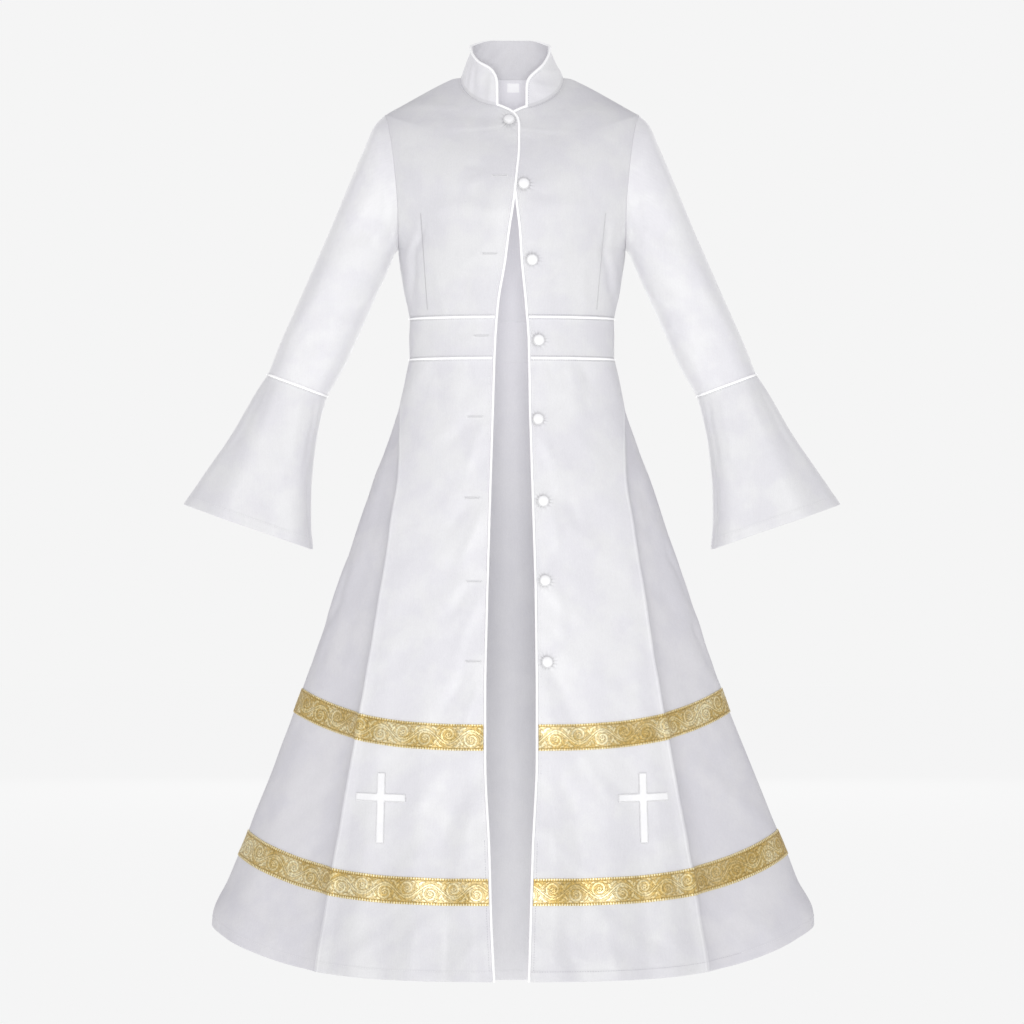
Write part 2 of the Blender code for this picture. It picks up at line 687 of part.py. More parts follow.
def add_cord(name, points, collection, closed=False, shares=None):
    """A round piping cord along a run of points, thinner where it has a share of its radius."""
    curve = bpy.data.curves.new(name, "CURVE")
    curve.dimensions = "3D"
    curve.bevel_depth = CORD_RADIUS
    curve.bevel_resolution = CORD_SIDES
    curve.use_fill_caps = True
    spline = curve.splines.new("POLY")
    spline.points.add(len(points) - 1)
    for knot, point in zip(spline.points, points):
        knot.co = (*point, 1.0)
    if shares is not None:
        for knot, share in zip(spline.points, shares):
            knot.radius = float(share)
    spline.use_cyclic_u = closed
    curve.materials.append(material("piping"))
    made = bpy.data.objects.new(name, curve)
    collection.objects.link(made)
    return made


def build_body():
    """The points and normals of the bodice, waistband and skirt, as one grid of rows."""
    levels = (BODICE_LEVELS
              + [UNDERARM + k / ARMHOLE_ROWS for k in range(ARMHOLE_ROWS + 1)]
              + SHOULDER_LEVELS)
    heights = np.linspace(WAIST_TOP, WAIST_BOTTOM, WAISTBAND_ROWS + 1)
    rows = [bodice_row(level) for level in levels[::-1]]
    rows += [waistband_row(height) for height in heights[1:-1]]
    rows += [skirt_row(down) for down in SKIRT_LEVELS]
    grid = np.array(rows)
    normals = body_normals(grid)
    front = slice(0, FRONT_COLUMNS + 1)
    lift = lap_lift(grid[:, front, 0], grid[:, front, 2])
    grid[:, front] += normals[:, front] * lift[:, :, None]
    return grid, body_normals(grid), len(levels) - 1


def armhole_rows(waist_row):
    """The rows at the shoulder tip and at the underarm."""
    bottom = waist_row - len(BODICE_LEVELS)
    return bottom - ARMHOLE_ROWS, bottom


def armhole_loop(points, waist_row):
    """The left armhole's ring of grid points, from the shoulder tip round the front."""
    top, bottom = armhole_rows(waist_row)
    down = points[top:bottom + 1, BACK_LAST + 1]
    up = points[bottom - 1:top:-1, BACK_LAST]
    return np.concatenate([down, up])


def mirror(points):
    """Points of the left side brought to the right."""
    return points * np.array([-1.0, 1.0, 1.0])


def seam_blend(own, other):
    """The way a wall is cut at the armhole: square to the seam where the cloth is flat.

    Where the sleeve folds back under the arm, each wall keeps its own normal.
    """
    along = np.sum(own * other, axis=1, keepdims=True)
    flat = smoothstep(along / SEAM_FLAT)
    square = (own + other) / np.maximum(1 + along, 1.0)
    return own * (1 - flat) + square * flat


def build_arm(armhole, body_outward):
    """The left sleeve and cuff as one grid, its normals, and the armhole's own normals."""
    rings = np.array([armhole] + [arm_ring(row) for row in SLEEVE + CUFF[1:]])
    outward = unit(face_sums(rings, closed=True))
    body_cut = seam_blend(body_outward, outward[0])
    arm_cut = seam_blend(outward[0], body_outward)
    along = np.sum(body_outward * outward[0], axis=1, keepdims=True)
    outward[0] = arm_cut
    folded = 1 - smoothstep((along + SEAM_FOLDED) / (2 * SEAM_FOLDED))
    rings[0] += body_outward * folded * ARMHOLE_STAND_OFF
    return rings, outward, body_cut


def cut_armhole(grid, normals, body_cut, waist_row):
    """Draws the bodice in round both armholes and gives its walls there their cut."""
    grid, normals = np.array(grid), np.array(normals)
    top, bottom = armhole_rows(waist_row)
    loop = armhole_loop(grid, waist_row)
    outward = armhole_loop(normals, waist_row)
    along = unit(np.roll(loop, -1, axis=0) - np.roll(loop, 1, axis=0))
    inward = unit(np.cross(outward, along))
    away = loop - loop.mean(axis=0)
    inward *= np.sign(np.sum(inward * away, axis=1, keepdims=True))
    moved = loop + inward * SEAM_GAP / 2
    places = [(i, BACK_LAST + 1) for i in range(top, bottom + 1)]
    places += [(i, BACK_LAST) for i in range(bottom - 1, top, -1)]
    for k, (i, j) in enumerate(places):
        pairs = [(i, j)] if top < i < bottom else [(i, BACK_LAST), (i, BACK_LAST + 1)]
        for a, b in pairs:
            mirror_b = COLUMNS - 1 - b
            grid[a, b] = moved[k]
            grid[a, mirror_b] = mirror(moved[k])
            normals[a, b] = body_cut[k]
            normals[a, mirror_b] = mirror(body_cut[k])
    return grid, normals


def body_panels(grid, normals, waist_row):
    """Each bodice, waistband and skirt piece: its stretch of the grid and its normals."""
    hip_row = waist_row + WAISTBAND_ROWS
    stretches = {"bodice": (0, waist_row), "waistband": (waist_row, hip_row),
                 "skirt": (hip_row, len(grid) - 1)}
    panels = {"front_right": (0, FRONT_COLUMNS), "back": (BACK_FIRST, BACK_LAST),
              "front_left": (BACK_LAST + 1, COLUMNS - 1)}
    pieces = {}
    for stretch, (top, bottom) in stretches.items():
        for panel, (first, last) in panels.items():
            part = (slice(top, bottom + 1), slice(first, last + 1))
            points = drawn_in(grid[part], bottom=stretch != "skirt")
            pieces[stretch + "_" + panel] = (points, normals[part])
    return pieces


def add_arms(rings, outward, collection):
    """Both sleeves and bell cuffs, with the piping round each cuff seam."""
    last = len(SLEEVE)
    sleeve = drawn_in(rings[:last + 1], sides=False)
    cuff = drawn_in(rings[last:], bottom=False, sides=False)
    shares = squeezed(outward[last])
    cord = rings[last] + outward[last] * (CORD_RADIUS * shares + LAID_GAP)
    for side, place in (("left", lambda points: points), ("right", mirror)):
        add_cloth("sleeve_" + side, place(sleeve), place(outward[:last + 1]), collection,
                  closed=True)
        add_cloth("cuff_" + side, place(cuff), place(outward[last:]), collection, closed=True)
        add_cord("piping_cuff_" + side, place(cord), collection, True, shares[:, 0])


def neck_run(grid, normals):
    """The neckline's points and normals, from one front edge round the back to the other."""
    return grid[0, RING_COLUMNS], normals[0, RING_COLUMNS]


def split_at_collar(points, values):
    """The run's points and values cut at the collar's two ends."""
    cuts = []
    for i in range(len(points) - 1):
        a, b = points[i], points[i + 1]
        for end in (-COLLAR_END_X, COLLAR_END_X):
            if (a[0] - end) * (b[0] - end) < 0 and a[1] < 0:
                cuts.append((i, (end - a[0]) / (b[0] - a[0])))
    (i, s), (j, t) = cuts
    first = points[i] + (points[i + 1] - points[i]) * s
    last = points[j] + (points[j + 1] - points[j]) * t
    first_value = unit(values[i] + (values[i + 1] - values[i]) * s)
    last_value = unit(values[j] + (values[j + 1] - values[j]) * t)
    collar = np.array([first, *points[i + 1:j + 1], last])
    right = (np.array([*points[:i + 1], first]), np.array([*values[:i + 1], first_value]))
    left = (np.array([last, *points[j + 1:]]), np.array([last_value, *values[j + 1:]]))
    return right, collar, left


def collar_height(turn, side):
    """The collar's height, from the front (0) by the side to its level back (pi)."""
    quarter = turn / (math.pi / 2)
    if quarter < 1:
        front = COLLAR_HEIGHT_FRONT[side]
        return float(front + (COLLAR_HEIGHT_SIDE - front) * smoothstep(quarter))
    part = smoothstep((quarter - 1) / COLLAR_BACK_RISE)
    return float(COLLAR_HEIGHT_SIDE + (COLLAR_HEIGHT_BACK - COLLAR_HEIGHT_SIDE) * part)


def add_collar(base, collection):
    """The stand collar on the neckline, and the piping along its front and top edges."""
    neck = BODICE[-1]
    turns = []
    for x, y, _ in base:
        depth = neck.front_depth if y < 0 else neck.back_depth
        turn = math.atan2(abs(x) / neck.side_x, -y / depth)
        turns.append(turn)
    end_turn = min(turns)
    runs = np.concatenate([[0.0], np.cumsum(np.linalg.norm(np.diff(base, axis=0), axis=1))])
    grid = [base + np.array([0.0, 0.0, SEAM_GAP / 2])]
    tops = []
    for k, (point, turn) in enumerate(zip(base, turns)):
        side, sign = ("left", 1) if point[0] > 0 else ("right", -1)
        top_end = math.asin(COLLAR_TOP_END_X[side] / COLLAR_TOP_X)
        lean = math.pi - (math.pi - turn) * (math.pi - top_end) / (math.pi - end_turn)
        depth = COLLAR_TOP_FRONT if lean < math.pi / 2 else COLLAR_TOP_BACK
        rim = np.array([sign * COLLAR_TOP_X * math.sin(lean) + COLLAR_TOP_SHIFT,
                        -depth * math.cos(lean), 0.0])
        run = min(runs[k], runs[-1] - runs[k]) / COLLAR_CORNER_RUN
        rounded = math.sqrt(1 - (1 - min(run, 1.0)) ** 2)
        full = collar_height(turn, side)
        height = COLLAR_CORNER_HEIGHT + (full - COLLAR_CORNER_HEIGHT) * rounded
        rim[2] = point[2] + full
        tops.append(point + (rim - point) * height / full)
    tops = np.array(tops)
    for i in range(1, COLLAR_ROWS + 1):
        grid.append(base + (tops - base) * i / COLLAR_ROWS)
    grid = np.array(grid[::-1])
    outward = unit(face_sums(grid))
    add_cloth("collar", grid, outward, collection, thick=COLLAR_CLOTH)
    down_right = grid[::-1, 0][:-1]
    down_left = grid[:, -1][1:]
    run = np.concatenate([down_right, grid[0], down_left])
    ways = np.concatenate([outward[::-1, 0][:-1], outward[0], outward[:, -1][1:]])
    tucked = smoothstep((run[:, [1]] - COLLAR_TUCK_FROM) / COLLAR_TUCK_RUN)
    inset = (beside(run, ways, -COLLAR_CORD_RISE) * (1 - tucked)
             + beside(run, ways, COLLAR_CORD_TUCK) * tucked)
    inset = inset + ways * (CORD_RADIUS + LAID_GAP)
    inset[0] += unit(inset[1] - inset[0]) * COLLAR_CORD_END
    inset[-1] += unit(inset[-2] - inset[-1]) * COLLAR_CORD_END
    add_cord("piping_collar", inset, collection)


def add_front_cords(grid, normals, necks, collection):
    """The piping along each front's neckline and down its edge."""
    for side, column_at, sign in (("right", 0, 1), ("left", COLUMNS - 1, -1)):
        neck, neck_outward = necks[side]
        if side == "right":
            neck, neck_outward = neck[::-1], neck_outward[::-1]
        run = np.concatenate([neck, grid[1:, column_at]])
        outward = np.concatenate([neck_outward, normals[1:, column_at]])
        run = run - outward * CLOTH / 2
        cord = beside(run, outward, sign * (CORD_RADIUS + LAID_GAP))
        cord[0] += unit(cord[1] - cord[0]) * NECK_CORD_START
        add_cord("piping_front_" + side, cord, collection)


def add_waist_cords(grid, normals, waist_row, collection):
    """The piping over the waistband's upper and lower seams, front edge to front edge."""
    for name, row in (("top", waist_row), ("bottom", waist_row + WAISTBAND_ROWS)):
        outward = normals[row, RING_COLUMNS]
        shares = squeezed(outward)
        cord = grid[row, RING_COLUMNS] + outward * (CORD_RADIUS * shares + LAID_GAP)
        cord[0] += unit(cord[1] - cord[0]) * WAIST_CORD_INSET
        cord[-1] += unit(cord[-2] - cord[-1]) * WAIST_CORD_INSET
        add_cord("piping_waist_" + name, cord, collection, shares=shares[:, 0])


def add_bands(grid, normals, waist_row, collection):
    """The gold ribbons, laid on the skirt's own points from front edge to front edge."""
    hip_row = waist_row + WAISTBAND_ROWS
    for name, (top, bottom) in (("band_upper", UPPER_BAND), ("band_lower", LOWER_BAND)):
        rows = [hip_row + i for i, down in enumerate(SKIRT_LEVELS) if top <= down <= bottom]
        points, outward = grid[rows][:, RING_COLUMNS], normals[rows][:, RING_COLUMNS]
        lower = drawn_in(points + outward * LAID_GAP, top=False, bottom=False)
        add_wall(name, lower + outward * RIBBON, lower, "gold", collection)


def surface_of(collection, name):
    """A search tree over a piece's faces, for seating what lies on it."""
    mesh = collection.objects[name].data
    corners = [vertex.co for vertex in mesh.vertices]
    return BVHTree.FromPolygons(corners, [tuple(face.vertices) for face in mesh.polygons])


def seat(tree, x, z, start_y=IN_FRONT_Y):
    """Where a line back along Y first meets a piece, and its normal there."""
    place, normal, _, _ = tree.ray_cast(Vector((x, start_y, z)), Vector((0.0, 1.0, 0.0)))
    return np.array(place), np.array(normal)


def add_cross(name, x, tree, collection):
    """A flat cross laid on a skirt front."""
    half_bar, half_width = CROSS_BAR / 2, CROSS_WIDTH / 2
    arm_top = CROSS_TOP - CROSS_ARM_DROP + half_bar
    arm_bottom = arm_top - CROSS_BAR
    foot = CROSS_TOP - CROSS_HEIGHT
    across = [-half_width, -half_width / 2, -half_bar, half_bar, half_width / 2, half_width]
    down = [CROSS_TOP, arm_top, arm_bottom, (arm_bottom + foot) / 2, foot]
    upright = {(i, 2) for i in range(len(down) - 1)}
    arms = {(1, j) for j in range(len(across) - 1)}
    bm = bmesh.new()
    corners = {}
    facing = seat(tree, x, arm_top)[1]

    def corner(i, j):
        if (i, j) not in corners:
            place = seat(tree, x + across[j], down[i])[0]
            corners[i, j] = bm.verts.new(place + facing * CROSS_GAP)
        return corners[i, j]

    for i, j in sorted(upright | arms):
        bm.faces.new((corner(i, j), corner(i + 1, j), corner(i + 1, j + 1), corner(i, j + 1)))
    raised = bmesh.ops.extrude_face_region(bm, geom=list(bm.faces))["geom"]
    lifted = [part for part in raised if isinstance(part, bmesh.types.BMVert)]
    bmesh.ops.translate(bm, vec=Vector(facing * APPLIQUE), verts=lifted)
    bmesh.ops.triangulate(bm, faces=bm.faces)
    bmesh.ops.recalc_face_normals(bm, faces=bm.faces)
    mesh = bpy.data.meshes.new(name)
    bm.to_mesh(mesh)
    bm.free()
    add_object(name, mesh, "cross", collection)


def button_mesh():
    """The profile of a covered button on its shank, from the dome's top to the shank's foot."""
    rim = BUTTON_SHANK + BUTTON_RIM
    profile = [(0.0, rim + BUTTON_DOME)]
    for k in range(1, BUTTON_DOME_STEPS + 1):
        turn = math.pi / 2 * k / BUTTON_DOME_STEPS
        profile.append((BUTTON_RADIUS * math.sin(turn), rim + BUTTON_DOME * math.cos(turn)))
    profile += [(BUTTON_FOOT_RADIUS, BUTTON_SHANK), (BUTTON_SHANK_RADIUS, BUTTON_SHANK),
                (BUTTON_SHANK_RADIUS, 0.0), (0.0, 0.0)]
    mesh = bpy.data.meshes.new("button_profile")
    edges = [(i, i + 1) for i in range(len(profile) - 1)]
    mesh.from_pydata([(radius, 0.0, height) for radius, height in profile], edges, [])
    return mesh


def add_button(name, place, tree, collection):
    """A covered button, turned from its profile and seated on a front."""
    point, facing = seat(tree, place.x, place.height)
    made = add_object(name, button_mesh(), "button", collection)
    turned = made.modifiers.new("turned", "SCREW")
    turned.steps = BUTTON_STEPS
    turned.render_steps = BUTTON_STEPS
    turned.use_merge_vertices = True
    turned.merge_threshold = MERGE
    turned.use_smooth_shade = True
    made.location = point + facing * LAID_GAP
    made.rotation_mode = "QUATERNION"
    made.rotation_quaternion = Vector(facing).to_track_quat("Z", "Y")


def add_label(tree, collection):
    """The bare woven label on the inside of the back, under the neck seam."""
    across = [LABEL_X - LABEL_WIDTH / 2, LABEL_X, LABEL_X + LABEL_WIDTH / 2]
    near, far = [], []
    for z in (LABEL_TOP, LABEL_TOP - LABEL_HEIGHT):
        laid = [seat(tree, x, z, start_y=INSIDE_Y) for x in across]
        far.append([place + facing * LAID_GAP for place, facing in laid])
        near.append([place + facing * (LAID_GAP + LABEL) for place, facing in laid])
    add_wall("neck_label", near, far, "label", collection)


def main():
    """Builds every piece in one collection."""
    for old in list(bpy.data.objects):
        bpy.data.objects.remove(old)
    collection = bpy.data.collections.new("cassock")
    bpy.context.scene.collection.children.link(collection)
    grid, normals, waist_row = build_body()
    armhole = armhole_loop(grid, waist_row)
    rings, arm_outward, body_cut = build_arm(armhole, armhole_loop(normals, waist_row))
    cut_grid, cut_normals = cut_armhole(grid, normals, body_cut, waist_row)
    for name, (points, outward) in body_panels(cut_grid, cut_normals, waist_row).items():
        add_cloth(name, points, outward, collection)
    add_arms(rings, arm_outward, collection)
    (right, right_outward), collar, (left, left_outward) = split_at_collar(
        *neck_run(grid, normals))
    add_collar(collar, collection)
    necks = {"right": (right, right_outward), "left": (left, left_outward)}
    add_front_cords(grid, normals, necks, collection)
    add_waist_cords(grid, normals, waist_row, collection)
    add_bands(grid, normals, waist_row, collection)
    for side, sign in (("right", -1), ("left", 1)):
        tree = surface_of(collection, "skirt_front_" + side)
        add_cross("cross_" + side, sign * CROSS_X, tree, collection)
    for number, place in enumerate(BUTTONS, start=1):
        under = "right" if number == 1 else "left"
        stretch = "bodice" if place.height > WAIST_TOP else "waistband"
        if place.height < WAIST_BOTTOM:
            stretch = "skirt"
        tree = surface_of(collection, stretch + "_front_" + under)
        add_button("button_" + str(number), place, tree, collection)
    add_label(surface_of(collection, "bodice_back"), collection)


main()
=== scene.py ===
"""Looks of a long white satin clergy cassock, filled out as it is worn, with nobody in it.

Metres, +Z up, the front facing -Y, right and left the wearer's, so right is -X.  The tables of
the cut are the ones that the solids were built from.  Here the same cloth is laid out on a much
finer grid, with its folds, creases, seams, hems, stitches, buttonholes and finishes.
"""

from collections import namedtuple
import math

import bmesh
import bpy
import numpy as np
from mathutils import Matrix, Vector
from mathutils.bvhtree import BVHTree


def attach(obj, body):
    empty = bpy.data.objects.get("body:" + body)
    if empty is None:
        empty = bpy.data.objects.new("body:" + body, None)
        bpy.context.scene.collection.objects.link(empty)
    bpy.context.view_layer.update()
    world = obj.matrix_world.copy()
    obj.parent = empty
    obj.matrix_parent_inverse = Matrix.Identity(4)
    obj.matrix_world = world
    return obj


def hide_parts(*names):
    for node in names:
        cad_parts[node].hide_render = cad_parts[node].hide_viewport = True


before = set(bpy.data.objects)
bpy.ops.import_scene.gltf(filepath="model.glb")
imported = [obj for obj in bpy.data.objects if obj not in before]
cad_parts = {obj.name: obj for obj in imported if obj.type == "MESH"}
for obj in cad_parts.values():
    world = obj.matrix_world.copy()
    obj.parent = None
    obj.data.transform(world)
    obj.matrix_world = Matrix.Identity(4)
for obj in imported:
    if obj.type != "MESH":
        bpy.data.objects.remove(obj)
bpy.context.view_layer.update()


# Cut, as in the solids
def rows_of(kind, rows):
    """A table's rows, their columns named."""
    return [kind(*row) for row in rows]


CLOTH = 0.0016
COLLAR_CLOTH = 0.0024
LAID_GAP = 0.00035
CORD_RADIUS = 0.0019
CORD_SQUEEZE = 0.45
CORD_TURNED = 0.8
FRONT_COLUMNS = 84
BACK_COLUMNS = 120
BACK_CROWDING = 1.25
UNDERARM, SHOULDER_TIP, NECK = 1.0, 2.0, 3.0
ROWS_TO_UNDERARM, ARMHOLE_ROWS, ROWS_TO_NECK = 20, 48, 24
WAISTBAND_ROWS = 12
BACK_FIRST = FRONT_COLUMNS + 1
BACK_LAST = BACK_FIRST + 2 * BACK_COLUMNS
COLUMNS = BACK_LAST + 1 + FRONT_COLUMNS + 1
RING_COLUMNS = [j for j in range(COLUMNS) if j not in (BACK_FIRST, BACK_LAST + 1)]
CURVE_STEPS = 60
EDGE_ROUNDS = 4
TINY = 1e-6

WAIST_TOP = -0.367
WAIST_BOTTOM = -0.429

BodiceRow = namedtuple("BodiceRow", "level side_x front_depth front_z back_depth back_z")
BODICE = rows_of(BodiceRow, [
    (0.00, 0.1548, 0.104, WAIST_TOP, 0.092, WAIST_TOP),
    (0.50, 0.1655, 0.114, -0.312, 0.098, -0.312),
    (1.00, 0.1725, 0.122, -0.258, 0.107, -0.261),
    (1.33, 0.1722, 0.124, -0.210, 0.112, -0.208),
    (1.50, 0.1755, 0.120, -0.172, 0.110, -0.160),
    (1.67, 0.1812, 0.109, -0.137, 0.104, -0.112),
    (2.00, 0.1930, 0.090, -0.099, 0.092, -0.062),
    (2.33, 0.1550, 0.083, -0.084, 0.082, -0.040),
    (2.67, 0.1165, 0.075, -0.070, 0.070, -0.017),
    (3.00, 0.0780, 0.068, -0.052, 0.060, 0.003),
])
SHOULDER_LINE = [(0.078, 0.0), (0.0885, -0.0012), (0.100, -0.0062), (0.193, -0.057)]
ARMHOLE_MIDDLE_Z = -0.159
ARMHOLE_HALF_HEIGHT = 0.102
ARMHOLE_FRONT = 0.058
ARMHOLE_BACK = 0.054
UNDERARM_Z = ARMHOLE_MIDDLE_Z - ARMHOLE_HALF_HEIGHT
SEAM_FOLDED = 0.5
ARMHOLE_STAND_OFF = 0.0003
COLLAR_END_X = 0.0226
LAPEL_DROP = 0.008
LAPEL_BEND = 1.5
LAPEL_LEVEL = 2.45

WaistRow = namedtuple("WaistRow", "height side_x front_depth back_depth")
WAISTBAND = rows_of(WaistRow, [
    (WAIST_TOP, 0.1548, 0.104, 0.092),
    (-0.398, 0.1558, 0.1040, 0.0930),
    (WAIST_BOTTOM, 0.1552, 0.1055, 0.0950),
])

SkirtRow = namedtuple("SkirtRow", "down side_x ridge_x ridge_y front_depth back_depth folds")
SKIRT = rows_of(SkirtRow, [
    (0.00, 0.1552, 0.1550, -0.002, 0.1055, 0.095, 0.0),
    (0.06, 0.1670, 0.1600, -0.030, 0.1120, 0.104, 0.6),
    (0.12, 0.1830, 0.1620, -0.053, 0.1190, 0.112, 1.0),
    (0.20, 0.2045, 0.1715, -0.072, 0.1280, 0.122, 1.0),
    (0.30, 0.2325, 0.1850, -0.088, 0.1400, 0.133, 1.0),
    (0.40, 0.2612, 0.1990, -0.102, 0.1510, 0.144, 1.0),
    (0.60, 0.3198, 0.2290, -0.128, 0.1770, 0.164, 0.95),
    (0.80, 0.3885, 0.2620, -0.152, 0.2050, 0.183, 0.75),
    (0.92, 0.4330, 0.2810, -0.167, 0.2210, 0.194, 0.5),
    (0.98, 0.4575, 0.2900, -0.176, 0.2280, 0.199, 0.4),
    (1.00, 0.4585, 0.2920, -0.178, 0.2300, 0.200, 0.35),
])
SKIRT_FRONT_DROP = 0.922
SKIRT_BACK_DROP = 0.962
SKIRT_SIDE_DROP = 0.858
SIDE_DROP_BEND = 0.045
HIP_BLEND = 0.22
FRONT_BOW = 2.2
BOW_POINTS = 7
NEAR_MIDDLE = 0.3
RIDGE_LIMIT = 0.999
SIDE_RISE = 2.6
SIDE_RISE_BELOW = 1.5
SIDE_FOLD = [(0.08, 0.22), (0.42, 0.47), (0.80, 0.73)]
BACK_FOLDS = [(0.985, 0.22), (0.90, 0.50), (0.78, 0.69), (0.63, 0.72), (0.47, 0.95),
              (0.28, 0.92), (0.12, 0.99)]
UPPER_BAND = (0.592, 0.634)
LOWER_BAND = (0.837, 0.880)

FrontEdge = namedtuple("FrontEdge", "height right left")
FRONT_EDGES = rows_of(FrontEdge, [
    (-0.0576, 0.0015, -0.0015),
    (-0.0666, 0.0075, -0.0075),
    (-0.0760, 0.0105, -0.0105),
    (-0.1160, 0.0104, -0.0090),
    (-0.1470, 0.0074, -0.0045),
    (-0.1780, 0.0044, 0.0050),
    (-0.2000, 0.0015, 0.0075),
    (-0.2380, -0.0045, 0.0120),
    (-0.2840, -0.0104, 0.0149),
    (-0.3450, -0.0208, 0.0209),
    (-0.4050, -0.0254, 0.0254),
    (-0.4940, -0.0284, 0.0269),
    (-0.6420, -0.0328, 0.0313),
    (-0.7900, -0.0371, 0.0356),
    (-0.9380, -0.0399, 0.0370),
    (-1.0260, -0.0398, 0.0369),
    (-1.1580, -0.0338, 0.0309),
    (-1.2600, -0.0309, 0.0279),
    (-1.3510, -0.0264, 0.0250),
])
LAP_LIFT = 0.0046
NECK_CORD_START = -0.0008
WAIST_CORD_INSET = 0.0006
LAP_FULL_X = -0.014
LAP_END_X = -0.058
LAP_FULL_Z = -0.206
LAP_END_Z = -0.300

COLLAR_HEIGHT_FRONT = {"right": 0.0582, "left": 0.0478}
COLLAR_HEIGHT_SIDE = 0.0490
COLLAR_HEIGHT_BACK = 0.0581
COLLAR_BACK_RISE = 0.7
COLLAR_TOP_X = 0.0580
COLLAR_TOP_SHIFT = -0.0025
COLLAR_TOP_FRONT = 0.0620
COLLAR_TOP_BACK = 0.0470
COLLAR_TOP_END_X = {"right": 0.0205, "left": 0.0240}
COLLAR_CORNER_HEIGHT = 0.036
COLLAR_CORNER_RUN = 0.030
COLLAR_CORD_RISE = 0.0012
COLLAR_CORD_TUCK = 0.0014
COLLAR_TUCK_FROM = -0.025
COLLAR_TUCK_RUN = 0.030
COLLAR_CORD_END = 0.0012
COLLAR_ROWS = 14
COLLAR_RIPPLES = (0.0014, 0.0006, 0.0008)
COLLAR_END_HELD = 0.020

ArmRow = namedtuple("ArmRow", "outer_x outer_z inner_x inner_z half_depth forward flutes")
SLEEVE = rows_of(ArmRow, [
    (0.2067, -0.0715, 0.1740, -0.2632, 0.0575, 0.000, 0.0),
    (0.2220, -0.1050, 0.1766, -0.2665, 0.0585, 0.000, 0.0),
    (0.2460, -0.1600, 0.1805, -0.2725, 0.0575, 0.002, 0.0),
    (0.2635, -0.2010, 0.1840, -0.2800, 0.0560, 0.003, 0.0),
    (0.2810, -0.2430, 0.1915, -0.2980, 0.0550, 0.005, 0.0),
    (0.3086, -0.3070, 0.2140, -0.3490, 0.0540, 0.008, 0.0),
    (0.3285, -0.3525, 0.2340, -0.3940, 0.0530, 0.010, 0.0),
    (0.3480, -0.3980, 0.2540, -0.4390, 0.0505, 0.012, 0.0),
    (0.3699, -0.4518, 0.2808, -0.4846, 0.0460, 0.015, 0.0),
])
CUFF = rows_of(ArmRow, [
    (0.3699, -0.4518, 0.2808, -0.4846, 0.0460, 0.015, 0.0),
    (0.3880, -0.4800, 0.2890, -0.5180, 0.0465, 0.016, 0.0010),
    (0.4070, -0.5120, 0.2965, -0.5520, 0.0480, 0.017, 0.0020),
    (0.4285, -0.5470, 0.3020, -0.5930, 0.0505, 0.018, 0.0035),
    (0.4514, -0.5806, 0.3045, -0.6334, 0.0530, 0.018, 0.0050),
    (0.4750, -0.6150, 0.3045, -0.6750, 0.0560, 0.018, 0.0065),
    (0.4975, -0.6480, 0.3020, -0.7160, 0.0590, 0.018, 0.0080),
])
CUFF_FLUTES = 5
ARM_SQUARE = 2.7
SLEEVE_RINGS = 84
CUFF_RINGS = 44

CROSS_X = 0.195
CROSS_TOP = -1.0478
CROSS_HEIGHT = 0.103
CROSS_WIDTH = 0.0735
CROSS_BAR = 0.0112
CROSS_ARM_DROP = 0.036
CROSS_GAP = 0.0004
APPLIQUE = 0.0011

BUTTON_RADIUS = 0.0089
BUTTON_RIM = 0.0016
BUTTON_DOME = 0.0042
BUTTON_FOOT_RADIUS = 0.0084
BUTTON_SHANK_RADIUS = 0.0026
BUTTON_SHANK = 0.0016
BUTTONS = [(-0.0045, -0.0720), (0.0176, -0.1696), (0.0298, -0.2820), (0.0396, -0.4020),
           (0.0387, -0.5210), (0.0462, -0.6435), (0.0490, -0.7620), (0.0518, -0.8830)]
BUTTONHOLES = [(-0.0182, -0.1568), (-0.0335, -0.2735), (-0.0455, -0.3955), (-0.0548, -0.5170),
               (-0.0594, -0.6385), (-0.0564, -0.7630), (-0.0579, -0.8815)]
BUTTONHOLE_LENGTH = 0.023

LABEL_X = 0.0018
LABEL_TOP = -0.0030
LABEL_WIDTH = 0.0176
LABEL_HEIGHT = 0.0122
LABEL = 0.0010


# Curves
def smoothstep(value):
    """0 below 0, 1 above 1, and a soft rise between them."""
    value = np.clip(value, 0.0, 1.0)
    return value * value * (3.0 - 2.0 * value)


def curved(start, end, leaving, arriving, t):
    """A place on the curve between two points, given its slopes there."""
    return (start * (1 + 2 * t) * (1 - t) ** 2 + end * t * t * (3 - 2 * t)
            + (leaving * t * (1 - t) ** 2 + arriving * t * t * (t - 1)))


def smooth_rows(knots, rows, places):
    """Rows of values at new places, curved between the given rows, never swinging past them."""
    knots, rows = np.asarray(knots, dtype=float), np.asarray(rows, dtype=float)
    places = np.asarray(places, dtype=float)
    extra = (slice(None),) + (None,) * (rows.ndim - 1)
    runs = np.diff(knots)[extra]
    slopes = np.diff(rows, axis=0) / runs
    tangents = np.zeros_like(rows)
    same = slopes[:-1] * slopes[1:] > 0
    first, last = np.where(same, slopes[:-1], 1.0), np.where(same, slopes[1:], 1.0)
    before, after = 2 * runs[1:] + runs[:-1], runs[1:] + 2 * runs[:-1]
    tangents[1:-1] = np.where(same, (before + after) / (before / first + after / last), 0.0)
    tangents[0], tangents[-1] = slopes[0], slopes[-1]
    clipped = np.clip(places, knots[0], knots[-1])
    i = np.clip(np.searchsorted(knots, clipped) - 1, 0, len(runs) - 1)
    shape = i.shape + (1,) * (rows.ndim - 1)
    run = np.diff(knots)[i].reshape(shape)
    t = (clipped - knots[i]).reshape(shape) / run
    return curved(rows[i], rows[i + 1], run * tangents[i], run * tangents[i + 1], t)


